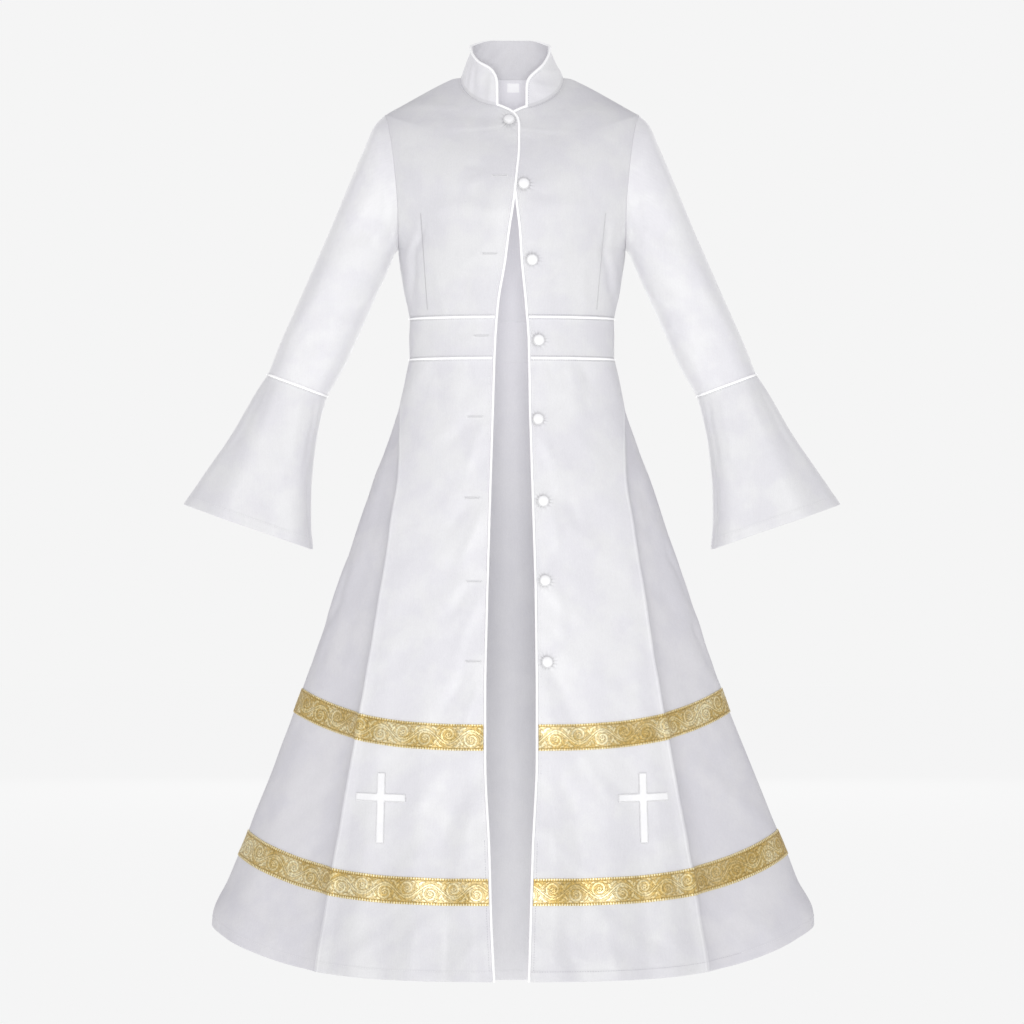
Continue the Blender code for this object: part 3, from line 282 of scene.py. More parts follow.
def smooth_line(xs, ys):
    """A function through the points (xs, ys), curved, that never swings past them."""
    order = np.argsort(xs)
    xs, ys = np.asarray(xs, dtype=float)[order], np.asarray(ys, dtype=float)[order]
    return lambda x: smooth_rows(xs, ys, np.asarray(x, dtype=float))


def column(table, along, name):
    """One column of a table as a smooth function of another."""
    return smooth_line([getattr(row, along) for row in table],
                       [getattr(row, name) for row in table])


def through(points):
    """A smooth curve through plan points, as a function of the part of its length."""
    points = np.asarray(points, dtype=float)
    chords = np.linalg.norm(np.diff(points, axis=0), axis=1) ** 0.5
    tangents = np.zeros_like(points)
    for i in range(1, len(points) - 1):
        before = (points[i] - points[i - 1]) / chords[i - 1]
        after = (points[i + 1] - points[i]) / chords[i]
        span = chords[i - 1] + chords[i]
        tangents[i] = (before * chords[i] + after * chords[i - 1]) / span
    tangents[0] = 2 * (points[1] - points[0]) / chords[0] - tangents[1]
    tangents[-1] = 2 * (points[-1] - points[-2]) / chords[-1] - tangents[-2]
    t = np.linspace(0.0, 1.0, CURVE_STEPS, endpoint=False)[:, None]
    fine = [curved(points[i], points[i + 1], chord * tangents[i], chord * tangents[i + 1], t)
            for i, chord in enumerate(chords)]
    fine = np.concatenate(fine + [points[-1:]])
    lengths = np.concatenate([[0.0], np.cumsum(np.linalg.norm(np.diff(fine, axis=0), axis=1))])
    parts = lengths / lengths[-1]
    return lambda part: np.stack([np.interp(part, parts, fine[:, 0]),
                                  np.interp(part, parts, fine[:, 1])], axis=-1)


def unit(vectors):
    """Vectors brought to length 1."""
    return vectors / np.maximum(np.linalg.norm(vectors, axis=-1, keepdims=True), 1e-12)


def lengths_along(points):
    """The length from the first row of points to each row."""
    steps = np.linalg.norm(np.diff(points, axis=0), axis=-1)
    return np.concatenate([np.zeros_like(steps[:1]), np.cumsum(steps, axis=0)])


def lengths_across(grid):
    """The length from the first column of a grid to each column."""
    return lengths_along(np.swapaxes(grid, 0, 1)).T


def wrapped(grid):
    """A grid closed into a tube, its first column again after its last."""
    return np.concatenate([grid, grid[:, :1]], axis=1)


def face_ways(grid):
    """Normals of a grid's faces, twice as long as each face is large."""
    return np.cross(grid[1:, 1:] - grid[:-1, :-1], grid[1:, :-1] - grid[:-1, 1:])


def mirror(points):
    """Points of the left side brought to the right."""
    return points * np.array([-1.0, 1.0, 1.0])


# The body's cloth
front_edge_right = column(FRONT_EDGES, "height", "right")
front_edge_left = column(FRONT_EDGES, "height", "left")
bodice_columns = {name: column(BODICE, "level", name) for name in BodiceRow._fields[1:]}
shoulder_height = smooth_line([x for x, z in SHOULDER_LINE], [z for x, z in SHOULDER_LINE])
waist_columns = {name: column(WAISTBAND, "height", name) for name in WaistRow._fields[1:]}
skirt_columns = {name: column(SKIRT, "down", name) for name in SkirtRow._fields[1:]}
front_shares = np.linspace(0.0, 1.0, FRONT_COLUMNS + 1)
back_shares = np.linspace(0.0, 1.0, BACK_COLUMNS + 1) ** BACK_CROWDING


def cloth_edge(side, height):
    """Where a front's cloth ends, as a distance towards the other side of the middle."""
    edge = front_edge_right(height) if side == "right" else -front_edge_left(height)
    return float(edge) - CORD_RADIUS - LAID_GAP


def lap_lift(x, z):
    """How far out the right front stands over the left one."""
    across = smoothstep((x - LAP_END_X) / (LAP_FULL_X - LAP_END_X))
    return LAP_LIFT * across * smoothstep((z - LAP_END_Z) / (LAP_FULL_Z - LAP_END_Z))


def joined_row(front_right, back_right, front_left):
    """One row, from the right front edge by the back to the left one."""
    return np.concatenate([front_right, back_right, mirror(back_right[-2::-1]),
                           front_left[::-1]])


def bodice_side(level):
    """The outer end of a row: half width, height, and its depth to the front and back."""
    side_x = float(bodice_columns["side_x"](level))
    if level <= UNDERARM:
        return side_x, WAIST_TOP + (UNDERARM_Z - WAIST_TOP) * level / UNDERARM, 0.0, 0.0
    if level < SHOULDER_TIP:
        turn = math.pi * (level - UNDERARM) / (SHOULDER_TIP - UNDERARM)
        height = ARMHOLE_MIDDLE_Z - ARMHOLE_HALF_HEIGHT * math.cos(turn)
        return side_x, height, ARMHOLE_FRONT * math.sin(turn), ARMHOLE_BACK * math.sin(turn)
    return side_x, float(shoulder_height(side_x)), 0.0, 0.0


def bodice_points(level, half, turns, reach):
    """Points of a bodice row; a turn runs from 0 in the middle to reach at the row's end."""
    side_x, side_z, _, _ = bodice_side(level)
    depth = float(bodice_columns[half + "_depth"](level))
    middle_z = float(bodice_columns[half + "_z"](level))
    turns = np.asarray(turns, dtype=float)
    straight = (1 - np.cos(turns)) / (1 - math.cos(reach))
    rounded = (np.sin(turns) / math.sin(reach)) ** 2
    round_part = min((NECK - level) / (NECK - SHOULDER_TIP), 1.0)
    x = side_x * np.sin(turns) / math.sin(reach)
    y = depth * np.cos(turns)
    z = middle_z + (side_z - middle_z) * (straight + (rounded - straight) * round_part)
    if half == "front":
        y = -y
        near_neck = float(smoothstep((level - LAPEL_LEVEL) / (NECK - LAPEL_LEVEL)))
        inside = np.clip(1 - np.abs(x) / COLLAR_END_X, 0.0, 1.0)
        z = z - LAPEL_DROP * near_neck * inside ** LAPEL_BEND
    return np.stack([x, y, z], axis=-1)


def bodice_reach(level, half):
    """The turn at which a bodice row ends, at the side, the armhole or the shoulder seam."""
    _, _, front_end, back_end = bodice_side(level)
    end = front_end if half == "front" else back_end
    return math.acos(end / float(bodice_columns[half + "_depth"](level)))


def bodice_front(level, side):
    """The points of one front's row, from its front edge to its outer end."""
    reach = bodice_reach(level, "front")
    side_x = bodice_side(level)[0]
    edge_turn = 0.0
    for _ in range(EDGE_ROUNDS):
        height = bodice_points(level, "front", [edge_turn], reach)[0, 2]
        edge_turn = -math.asin(cloth_edge(side, height) / side_x * math.sin(reach))
    row = bodice_points(level, "front", edge_turn + (reach - edge_turn) * front_shares, reach)
    return mirror(row) if side == "right" else row


def bodice_row(level):
    """A whole bodice row, front edge to front edge."""
    reach = bodice_reach(level, "back")
    back = mirror(bodice_points(level, "back", reach * (1 - back_shares), reach))
    return joined_row(bodice_front(level, "right"), back, bodice_front(level, "left"))


def ellipse_front(height, side_x, depth, side):
    """The front half of an elliptical ring, from a front edge to the side seam."""
    edge_turn = -math.asin(cloth_edge(side, height) / side_x)
    turn = edge_turn + (math.pi / 2 - edge_turn) * front_shares
    row = np.stack([side_x * np.sin(turn), -depth * np.cos(turn),
                    np.full_like(turn, height)], axis=-1)
    return mirror(row) if side == "right" else row


def ellipse_back(height, side_x, depth):
    """The right half of the back of an elliptical ring."""
    turn = math.pi / 2 * (1 - back_shares)
    return np.stack([-side_x * np.sin(turn), depth * np.cos(turn),
                     np.full_like(turn, height)], axis=-1)


def waistband_row(height):
    """A whole ring of the waistband."""
    side_x, front, back = (float(waist_columns[name](height)) for name in WaistRow._fields[1:])
    return joined_row(ellipse_front(height, side_x, front, "right"),
                      ellipse_back(height, side_x, back),
                      ellipse_front(height, side_x, front, "left"))


def skirt_plan(sizes):
    """The ring's plan on the +X side: the front to the ridge, and the ridge to the back."""
    side_x, ridge_x, ridge_y, front, back, folds = sizes
    bow = [(part * ridge_x, ridge_y - (front + ridge_y) * (1 - part ** FRONT_BOW))
           for part in np.linspace(0.0, 1.0, BOW_POINTS)]
    oval = ridge_y / math.sqrt(1 - min(ridge_x / side_x, RIDGE_LIMIT) ** 2)
    fold = []
    for across, behind in SIDE_FOLD:
        x = ridge_x + across * (side_x - ridge_x)
        plain = oval * math.sqrt(1 - (x / side_x) ** 2)
        fold.append((x, plain + (ridge_y * (1 - behind) - plain) * folds))
    back_points = []
    for across, behind in BACK_FOLDS:
        plain = math.sqrt(1 - across ** 2)
        back_points.append((across * side_x, (plain + (behind - plain) * folds) * back))
    return through(bow), through([bow[-1]] + fold + [(side_x, 0.0)] + back_points
                                 + [(0.0, back)])


def skirt_points(plan, down, side_x):
    """Plan points given their height: the ring rises from its middle towards the side."""
    side = down - SIDE_DROP_BEND * down * (1 - down)
    side_z = WAIST_BOTTOM - SKIRT_SIDE_DROP * side
    drop = np.where(plan[:, 1] <= 0, SKIRT_FRONT_DROP, SKIRT_BACK_DROP)
    middle_z = WAIST_BOTTOM - drop * down
    part = np.minimum(np.abs(plan[:, 0]) / side_x, 1.0)
    rise = part ** (SIDE_RISE + SIDE_RISE_BELOW * down)
    return np.column_stack([plan, middle_z + (side_z - middle_z) * rise])


def skirt_row(down):
    """A whole ring of the skirt; near the waist it blends into the waistband's ellipse."""
    sizes = [float(skirt_columns[name](down)) for name in SkirtRow._fields[1:]]
    side_x, _, _, front, back, _ = sizes
    front_plan, back_plan = skirt_plan(sizes)
    blend = float(smoothstep(down / HIP_BLEND))
    height = WAIST_BOTTOM - SKIRT_FRONT_DROP * down
    near_middle = np.linspace(0.0, NEAR_MIDDLE, CURVE_STEPS + 1)
    across = front_plan(near_middle)[:, 0]
    fronts = {}
    for side, sign in (("right", -1), ("left", 1)):
        start = float(np.interp(-cloth_edge(side, height), across, near_middle))
        ring = ellipse_front(height, side_x, front, side)[:, :2]
        hung = front_plan(start + (1 - start) * front_shares) * (sign, 1)
        fronts[side] = skirt_points(hung * blend + ring * (1 - blend), down, side_x)
    ring = ellipse_back(height, side_x, back)[:, :2]
    hung = back_plan(back_shares) * (-1, 1)
    back_right = skirt_points(hung * blend + ring * (1 - blend), down, side_x)
    return joined_row(fronts["right"], back_right, fronts["left"])


def face_sums(grid, closed=False, seams=()):
    """Sums of the face normals round each point of a grid, leaving out the seam spans."""
    if closed:
        grid = wrapped(grid)
    faces = face_ways(grid)
    for seam in seams:
        faces[:, seam] = 0
    sums = np.zeros_like(grid)
    for rows in (slice(0, -1), slice(1, None)):
        for columns in (slice(0, -1), slice(1, None)):
            sums[rows, columns] += faces
    if closed:
        sums[:, 0] += sums[:, -1]
        sums = sums[:, :-1]
    return sums


def body_normals(grid):
    """Outward normals of the body's grid; panels that meet in a point share its normal."""
    seams = (FRONT_COLUMNS, BACK_LAST)
    sums = face_sums(grid, seams=seams)
    for j in seams:
        met = np.linalg.norm(grid[:, j] - grid[:, j + 1], axis=-1) < TINY
        both = sums[:, j] + sums[:, j + 1]
        sums[:, j] = np.where(met[:, None], both, sums[:, j])
        sums[:, j + 1] = np.where(met[:, None], both, sums[:, j + 1])
    return unit(sums)


def skirt_levels():
    """Parts of the way down for the skirt's rows, with rows on the edges of both ribbons."""
    marks = [(0.0, 0), (UPPER_BAND[0], 100), (UPPER_BAND[1], 10), (LOWER_BAND[0], 34),
             (LOWER_BAND[1], 10), (1.0, 22)]
    levels = [0.0]
    for (start, _), (end, rows) in zip(marks, marks[1:]):
        levels += list(np.linspace(start, end, rows + 1)[1:])
    return np.array(levels)


# Folds and creases
# A crease is a soft trough (depth below 0) or ridge between two places on the cloth.
Crease = namedtuple("Crease", "start end width depth")
MILLIMETRES, TURNS = 1000.0, 1.0


def creases_of(rows, unit_across=MILLIMETRES):
    """Creases from rows: start across and down, end across and down, width and depth."""
    return [Crease((row[0] / unit_across, row[1] / MILLIMETRES),
                   (row[2] / unit_across, row[3] / MILLIMETRES),
                   row[4] / MILLIMETRES, row[5] / MILLIMETRES) for row in rows]


# On the fronts and the back, places are x and z as seen from the front, +X to the right.
FRONT_CREASES = creases_of([
    # from the armholes and shoulders over the chest
    (-160, -190, -112, -232, 10, -1.6), (-166, -222, -128, -262, 8, -1.3),
    (-150, -120, -118, -170, 13, 1), (162, -196, 118, -240, 10, -1.5),
    (167, -228, 134, -270, 8, -1.2), (148, -115, 120, -160, 13, 0.9),
    # the bust line on the right front
    (-85, -196, -30, -222, 12, 1.2), (-120, -206, -85, -196, 12, 0.8),
    (40, -205, 105, -200, 12, 0.9),
    # beside the darts, towards the waist seam
    (-137.2, -222, -150.5, -340, 5.2, -1.4), (-148, -236, -161, -345, 6, 0.9),
    (-112, -300, -106, -360, 8, 0.9), (140.5, -224, 152, -342, 5.2, -1.3),
    (151, -240, 162, -346, 6, 0.8), (110, -300, 104, -360, 8, 0.9),
    (-72, -300, -66, -364, 9, -0.6), (68, -292, 62, -364, 9, -0.6),
    # drags at the upper button and buttonhole
    (-34, -150, -64, -138, 5, -0.7), (-36, -162, -72, -172, 6, 0.7), (30, -160, 58, -148, 5, -0.6),
    (28, -174, 52, -190, 5, -0.6), (-46, -268, -86, -258, 6, -0.6), (-48, -280, -80, -294, 6, 0.6),
    (42, -276, 74, -262, 6, -0.6), (40, -290, 66, -308, 6, 0.6),
    # the waistband
    (-62, -390, -104, -384, 5, -0.5), (-62, -402, -96, -412, 5, 0.5),
    (52, -397, 92, -388, 5, -0.5), (50, -408, 84, -418, 5, 0.4),
    # down from the waist seam
    (-118, -430, -108, -520, 9, -1), (-88, -430, -82, -498, 8, 0.8),
    (-62, -430, -60, -482, 7, -0.7), (116, -430, 110, -512, 9, -1), (92, -430, 88, -505, 8, 0.8),
    (60, -430, 62, -476, 7, -0.6),
    # drags at the skirt's buttonholes
    (-68, -512, -94, -490, 6, 0.8), (-66, -526, -92, -556, 8, -1), (-44, -530, -66, -600, 8, 1.1),
    (-72, -634, -104, -612, 6, 0.8), (-70, -650, -98, -686, 9, -1.1),
    (-46, -655, -72, -742, 10, 1.4), (-70, -756, -98, -728, 8, -0.9),
    (-68, -770, -96, -812, 9, -1), (-48, -780, -78, -868, 10, 1.3),
    (-72, -876, -100, -852, 7, 0.8), (-70, -892, -104, -948, 10, -1.3),
    (-50, -900, -72, -985, 9, 1),
    # and at its buttons
    (50, -514, 78, -490, 7, -0.8), (48, -530, 66, -600, 8, 1), (58, -634, 86, -596, 8, 1),
    (56, -654, 76, -728, 9, 1.2), (78, -640, 104, -690, 9, -0.9), (60, -754, 86, -712, 8, -0.9),
    (58, -774, 82, -850, 10, 1.2), (62, -872, 92, -832, 8, -0.8), (58, -896, 86, -972, 10, -1.2),
    (44, -905, 58, -985, 8, 0.9),
    # between the ribbons and below them
    (-70, -1060, -120, -1190, 14, -1.2), (-100, -1030, -150, -1100, 12, 1),
    (-60, -1110, -80, -1200, 12, 1.1), (66, -1050, 112, -1185, 14, -1.1),
    (104, -1020, 160, -1100, 12, 0.9), (56, -1120, 74, -1205, 12, 1),
    (-90, -1262, -100, -1345, 12, -1.4), (-130, -1255, -150, -1335, 12, 1.1),
    (82, -1262, 90, -1345, 12, -1.3), (134, -1250, 156, -1335, 12, 1.1),
    # pressed lines past the ridge of each side
    (-232, -700, -309, -915, 4, -1.1), (-240, -702, -318, -915, 5, 0.7),
    (238, -712, 312, -920, 4, -1), (247, -714, 321, -922, 5, 0.6),
])
BACK_CREASES = creases_of([
    (-150, -165, -110, -205, 10, -1.4), (-160, -205, -124, -250, 9, -1.2),
    (152, -160, 108, -198, 10, -1.3), (160, -200, 128, -246, 9, -1.2),
    (-45, -40, -110, -72, 14, 1), (48, -42, 115, -70, 14, 1), (-30, -340, -85, -318, 8, -1.2),
    (20, -330, 80, -312, 8, -1.2), (-50, -358, -100, -346, 6, 0.8), (45, -352, 96, -342, 6, 0.8),
    (-100, -430, -108, -520, 9, -1.2), (-55, -430, -60, -540, 9, 1),
    (-12, -430, -10, -500, 8, -0.9), (42, -430, 46, -530, 9, -1), (88, -430, 98, -515, 9, 1),
    (-30, -620, -45, -760, 14, 1.1), (60, -600, 85, -740, 14, -1.1),
    (-120, -680, -160, -830, 14, -1.2), (130, -700, 175, -860, 14, 1.2),
    (10, -860, 20, -980, 14, 1.2), (-70, -1060, -90, -1190, 14, -1.2),
    (90, -1070, 110, -1200, 14, 1.1), (30, -1270, 34, -1380, 14, -1.2),
    (-150, -1270, -170, -1360, 14, 1.1),
])

# Hanging folds of the skirt: where they lie round a panel (0 at its front end, 1 at the other),
# their half width there, where they start down the skirt, and how far they stand out at the hem.
Hang = namedtuple("Hang", "share width top depth")
RIGHT_FRONT_FOLDS = rows_of(Hang, [
    (0.10, 0.055, 0.46, 0.0030), (0.26, 0.070, 0.40, -0.0034),
    (0.45, 0.075, 0.30, 0.0036), (0.63, 0.070, 0.38, -0.0030),
    (0.80, 0.060, 0.24, 0.0026), (0.93, 0.035, 0.12, -0.0018),
])
LEFT_FRONT_FOLDS = rows_of(Hang, [
    (0.12, 0.060, 0.50, 0.0028), (0.29, 0.065, 0.36, -0.0032),
    (0.48, 0.080, 0.34, 0.0034), (0.66, 0.065, 0.42, -0.0030),
    (0.82, 0.060, 0.20, 0.0028), (0.94, 0.035, 0.14, -0.0018),
])
BACK_HANGS = rows_of(Hang, [
    (0.045, 0.014, 0.30, -0.0020), (0.095, 0.022, 0.44, 0.0030),
    (0.165, 0.026, 0.55, -0.0030), (0.235, 0.024, 0.50, 0.0026),
    (0.315, 0.026, 0.40, -0.0028), (0.400, 0.024, 0.46, 0.0026),
    (0.475, 0.022, 0.52, -0.0024), (0.555, 0.026, 0.38, 0.0028),
    (0.640, 0.024, 0.48, -0.0026), (0.715, 0.022, 0.56, 0.0024),
    (0.790, 0.026, 0.42, -0.0028), (0.865, 0.022, 0.50, 0.0026),
    (0.925, 0.020, 0.36, 0.0026), (0.965, 0.012, 0.30, -0.0018),
])
# Broad unevenness of hung cloth: length of the wave across and down, its turn and its height
RIPPLES = [
    (0.118, 0.300, 0.4, 0.00060), (0.074, 0.210, 2.1, 0.00040), (0.052, 0.120, 4.0, 0.00024),
    (0.161, 0.137, 1.2, 0.00045), (0.039, 0.173, 5.2, 0.00016),
]
# On the arms, places are turns round (0 outer edge, 1/4 front, 1/2 inner edge) and down.
SLEEVE_CREASES = creases_of([
    (0.3, 20, 0.22, 110, 11, -1.2), (0.38, 12, 0.33, 80, 9, -1.2), (0.12, 15, 0.1, 85, 12, 0.9),
    (0.7, 16, 0.78, 100, 11, -1.1), (0.62, 12, 0.66, 75, 9, -1.1), (0.46, 150, 0.3, 185, 9, -1.4),
    (0.45, 176, 0.33, 205, 7, 1), (0.47, 205, 0.28, 222, 9, -1.3), (0.44, 238, 0.34, 236, 7, 0.9),
    (0.54, 160, 0.68, 190, 9, -1.3), (0.55, 200, 0.7, 214, 8, 0.9), (0.18, 150, 0.14, 290, 13, 1),
    (0.25, 255, 0.22, 372, 12, -1), (0.36, 270, 0.34, 365, 10, 0.9),
    (0.1, 290, 0.11, 390, 11, -0.8), (0.82, 130, 0.86, 270, 13, 1), (0.76, 250, 0.79, 370, 12, -1),
    (0.64, 270, 0.66, 360, 10, 0.8),
], TURNS)
CUFF_CREASES = creases_of([
    (0.1, 10, 0.12, 130, 12, -1.2), (0.19, 4, 0.21, 90, 10, 1), (0.29, 4, 0.31, 180, 12, 1.4),
    (0.38, 4, 0.4, 120, 9, -1.3), (0.45, 20, 0.455, 240, 6, -2.2), (0.6, 4, 0.58, 120, 10, -1.2),
    (0.71, 4, 0.7, 170, 12, 1.3), (0.8, 4, 0.82, 110, 10, -1.1), (0.9, 10, 0.88, 140, 12, 1),
], TURNS)
# Sewing puckers along the piped front edges: how long, how wide and how high
PUCKER_PITCH = 0.0135
PUCKER_REACH = 0.011
PUCKER_HEIGHT = 0.00028
PUCKER_DRIFT = 0.031
WELT_REACH = 0.0042
WELT_HEIGHT = 0.00055
# Every crease's depth is raised by this, and it fades over its ends and a little past them
CREASE_DEPTH = 1.7
CREASE_PAST, CREASE_FADE = 0.22, 0.5
# Where sewing holds the cloth flat: beside the waist seams, the armholes and the neck
WAIST_HELD, WAIST_KEPT = 0.02, 0.25
SEAM_HELD_COLUMNS, NECK_HELD_ROWS = 5, 4
BODICE_RIPPLE, BODICE_RIPPLE_RUN = 0.6, 0.6
ARM_RIPPLES = (0.0005, 0.0003)
SLEEVE_HELD, CUFF_HELD = 0.03, 0.02


def creased(across, down, creases):
    """The height of soft troughs and ridges at places on the cloth."""
    height = np.zeros_like(across)
    across, down = (across + 0.0040 * np.sin(down / 0.023 + 1.3) + 0.0016 * np.sin(down / 0.009),
                    down + 0.0040 * np.sin(across / 0.019 + 0.4))
    for crease in creases:
        way = np.subtract(crease.end, crease.start)
        length = math.hypot(*way)
        from_x, from_y = across - crease.start[0], down - crease.start[1]
        along = (from_x * way[0] + from_y * way[1]) / length ** 2
        off = (from_x * way[1] - from_y * way[0]) / length
        ends = (smoothstep((along + CREASE_PAST) / CREASE_FADE)
                * smoothstep((1 + CREASE_PAST - along) / CREASE_FADE))
        height += CREASE_DEPTH * crease.depth * np.exp(-(off / crease.width) ** 2) * ends
    return height


def hanging(shares, downs, folds):
    """How far hanging folds stand out, at each place down and each share of the way round."""
    height = np.zeros((len(downs), len(shares)))
    for fold in folds:
        grown = smoothstep((downs - fold.top) / (1.0 - fold.top))[:, None]
        height += fold.depth * grown * np.exp(-((shares - fold.share) / fold.width) ** 2)
    return height


def rippled(across, down):
    """Broad unevenness of cloth that hangs freely."""
    height = np.zeros_like(across)
    for wide, long, turn, tall in RIPPLES:
        height += tall * np.sin(2 * math.pi * (across / wide + 0.35 * np.sin(down / long + turn))
                                + turn) * np.cos(2 * math.pi * down / long + 2 * turn)
    return height


def build_body():
    """The points and normals of the bodice, waistband and skirt, as one grid of rows."""
    levels = np.concatenate([
        np.linspace(NECK, SHOULDER_TIP, ROWS_TO_NECK + 1)[:-1],
        np.linspace(SHOULDER_TIP, UNDERARM, ARMHOLE_ROWS + 1)[:-1],
        np.linspace(UNDERARM, 0.0, ROWS_TO_UNDERARM + 1)])
    heights = np.linspace(WAIST_TOP, WAIST_BOTTOM, WAISTBAND_ROWS + 1)[1:-1]
    downs = skirt_levels()
    grid = np.array([bodice_row(level) for level in levels]
                    + [waistband_row(height) for height in heights]
                    + [skirt_row(down) for down in downs])
    normals = body_normals(grid)
    front = slice(0, FRONT_COLUMNS + 1)
    lift = lap_lift(grid[:, front, 0], grid[:, front, 2])
    grid[:, front] += normals[:, front] * lift[:, :, None]
    normals = body_normals(grid)
    grid = grid + normals * body_relief(grid, normals, levels, downs)[:, :, None]
    return grid, body_normals(grid), len(levels) - 1


def body_relief(grid, normals, levels, downs):
    """How far the cloth stands out of its plain cut, in folds, creases and puckers."""
    x, z = grid[:, :, 0], grid[:, :, 2]
    facing = smoothstep((0.25 - normals[:, :, 1]) / 0.5)
    height = creased(x, z, FRONT_CREASES) * facing
    height += creased(x, z, BACK_CREASES) * (1 - facing)
    round_way = lengths_across(grid)
    round_way = round_way - round_way[:, [BACK_FIRST + BACK_COLUMNS]]
    free = np.ones(len(grid))
    free[:len(levels)] = BODICE_RIPPLE * smoothstep((NECK - levels) / BODICE_RIPPLE_RUN)
    height += rippled(round_way, z) * free[:, None]
    downs = np.concatenate([np.zeros(len(grid) - len(downs)), downs])
    height[:, :BACK_FIRST] += hanging(front_shares, downs, RIGHT_FRONT_FOLDS)
    height[:, BACK_LAST + 1:] += hanging(front_shares, downs, LEFT_FRONT_FOLDS)[:, ::-1]
    whole_back = np.concatenate([back_shares, 2 - back_shares[-2::-1]]) / 2
    height[:, BACK_FIRST:BACK_LAST + 1] += hanging(whole_back, downs, BACK_HANGS)
    # both piped front edges: a welt over the turned edge, and puckers where it is sewn
    for edge, columns in ((0, slice(0, BACK_FIRST)), (COLUMNS - 1, slice(BACK_LAST + 1, None))):
        off = np.linalg.norm(grid[:, columns] - grid[:, [edge]], axis=-1)
        line = lengths_along(grid[:, edge])[:, None]
        wave = np.sin(2 * math.pi * line / PUCKER_PITCH + 2.3 * np.sin(line / PUCKER_DRIFT))
        height[:, columns] += PUCKER_HEIGHT * wave * np.exp(-(off / PUCKER_REACH) ** 2)
        height[:, columns] += WELT_HEIGHT * smoothstep(1 - off / WELT_REACH)
    # beside the waist seams the cloth is held down
    seam_off = np.minimum(np.abs(z - WAIST_TOP), np.abs(z - WAIST_BOTTOM))
    height *= WAIST_KEPT + (1 - WAIST_KEPT) * smoothstep(seam_off / WAIST_HELD)
    # at the armholes, shoulder seams and neck too
    top = len(levels) - ROWS_TO_UNDERARM
    for j, step in ((FRONT_COLUMNS, -1), (BACK_FIRST, 1), (BACK_LAST, -1), (BACK_LAST + 1, 1)):
        for k in range(SEAM_HELD_COLUMNS):
            height[:top, j + step * k] *= 0.2 * k
    height[:NECK_HELD_ROWS] *= np.arange(NECK_HELD_ROWS)[:, None] / NECK_HELD_ROWS
    return height


# Arms
def arm_table(rows):
    """A table's rings, from the outer edge round the front, pressed flat front and back."""
    turn = 2 * math.pi * np.arange(2 * ARMHOLE_ROWS) / (2 * ARMHOLE_ROWS)
    across = np.sign(np.cos(turn)) * np.abs(np.cos(turn)) ** (2 / ARM_SQUARE)
    deep = np.sign(np.sin(turn)) * np.abs(np.sin(turn)) ** (2 / ARM_SQUARE)
    rings = []
    for row in rows:
        outer = np.array([row.outer_x, -row.forward, row.outer_z])
        inner = np.array([row.inner_x, -row.forward, row.inner_z])
        wave = row.flutes * np.sin(turn) ** 2 * np.cos(CUFF_FLUTES * turn)
        ring = (outer + inner) / 2 + (outer - inner) / 2 * across[:, None]
        ring[:, 1] -= (row.half_depth + wave) * deep
        rings.append(ring)
    return rings


def finer_rings(rings, count):
    """More rings between the given ones."""
    rings = np.array(rings)
    knots = lengths_along(rings).mean(axis=1)
    places = np.linspace(0.0, knots[-1], count + 1)
    return smooth_rows(knots, rings, places), places


def arm_creased(rings, outward, places, creases, hold_top, hold_bottom):
    """Rings with their creases, which fade at the seams and hems."""
    girth = np.linalg.norm(np.diff(wrapped(rings), axis=1), axis=-1).sum(axis=1).mean()
    down = np.tile(places[:, None], (1, rings.shape[1]))
    turn = np.broadcast_to(np.arange(rings.shape[1]) / rings.shape[1], down.shape)
    scaled = [Crease((c.start[0] * girth, c.start[1]), (c.end[0] * girth, c.end[1]), c.width,
                     c.depth) for c in creases]
    height = creased(turn * girth, down, scaled)
    broad, narrow = ARM_RIPPLES
    wave = np.sin(2 * math.pi * (turn * 3 + 0.15)) * np.sin(down / 0.041 + 1.0)
    height += broad * wave + narrow * np.sin(2 * math.pi * (turn * 5) + down / 0.023)
    fade = np.ones(len(places))
    if hold_top:
        fade *= smoothstep(places / hold_top)
    if hold_bottom:
        fade *= smoothstep((places[-1] - places) / hold_bottom)
    return rings + outward * (height * fade[:, None])[:, :, None]


def build_arm(armhole, body_outward):
    """The left sleeve's and cuff's rings and their normals."""
    sleeve, sleeve_places = finer_rings([armhole] + arm_table(SLEEVE), SLEEVE_RINGS)
    cuff, cuff_places = finer_rings(arm_table(CUFF), CUFF_RINGS)
    outward = unit(face_sums(np.concatenate([sleeve, cuff[1:]]), closed=True))
    split = len(sleeve) - 1
    sleeve = arm_creased(sleeve, outward[:split + 1], sleeve_places, SLEEVE_CREASES,
                         SLEEVE_HELD, SLEEVE_HELD)
    cuff = arm_creased(cuff, outward[split:], cuff_places, CUFF_CREASES, CUFF_HELD, 0.0)
    outward = unit(face_sums(np.concatenate([sleeve, cuff[1:]]), closed=True))
    along = np.sum(body_outward * outward[0], axis=1, keepdims=True)
    folded = 1 - smoothstep((along + SEAM_FOLDED) / (2 * SEAM_FOLDED))
    sleeve[0] += body_outward * folded * ARMHOLE_STAND_OFF
    return (sleeve, outward[:split + 1]), (cuff, outward[split:])


def armhole_loop(points, waist_row):
    """The left armhole's ring of grid points, from the shoulder tip round the front."""
    bottom = waist_row - ROWS_TO_UNDERARM
    top = bottom - ARMHOLE_ROWS
    down = points[top:bottom + 1, BACK_LAST + 1]
    up = points[bottom - 1:top:-1, BACK_LAST]
    return np.concatenate([down, up])


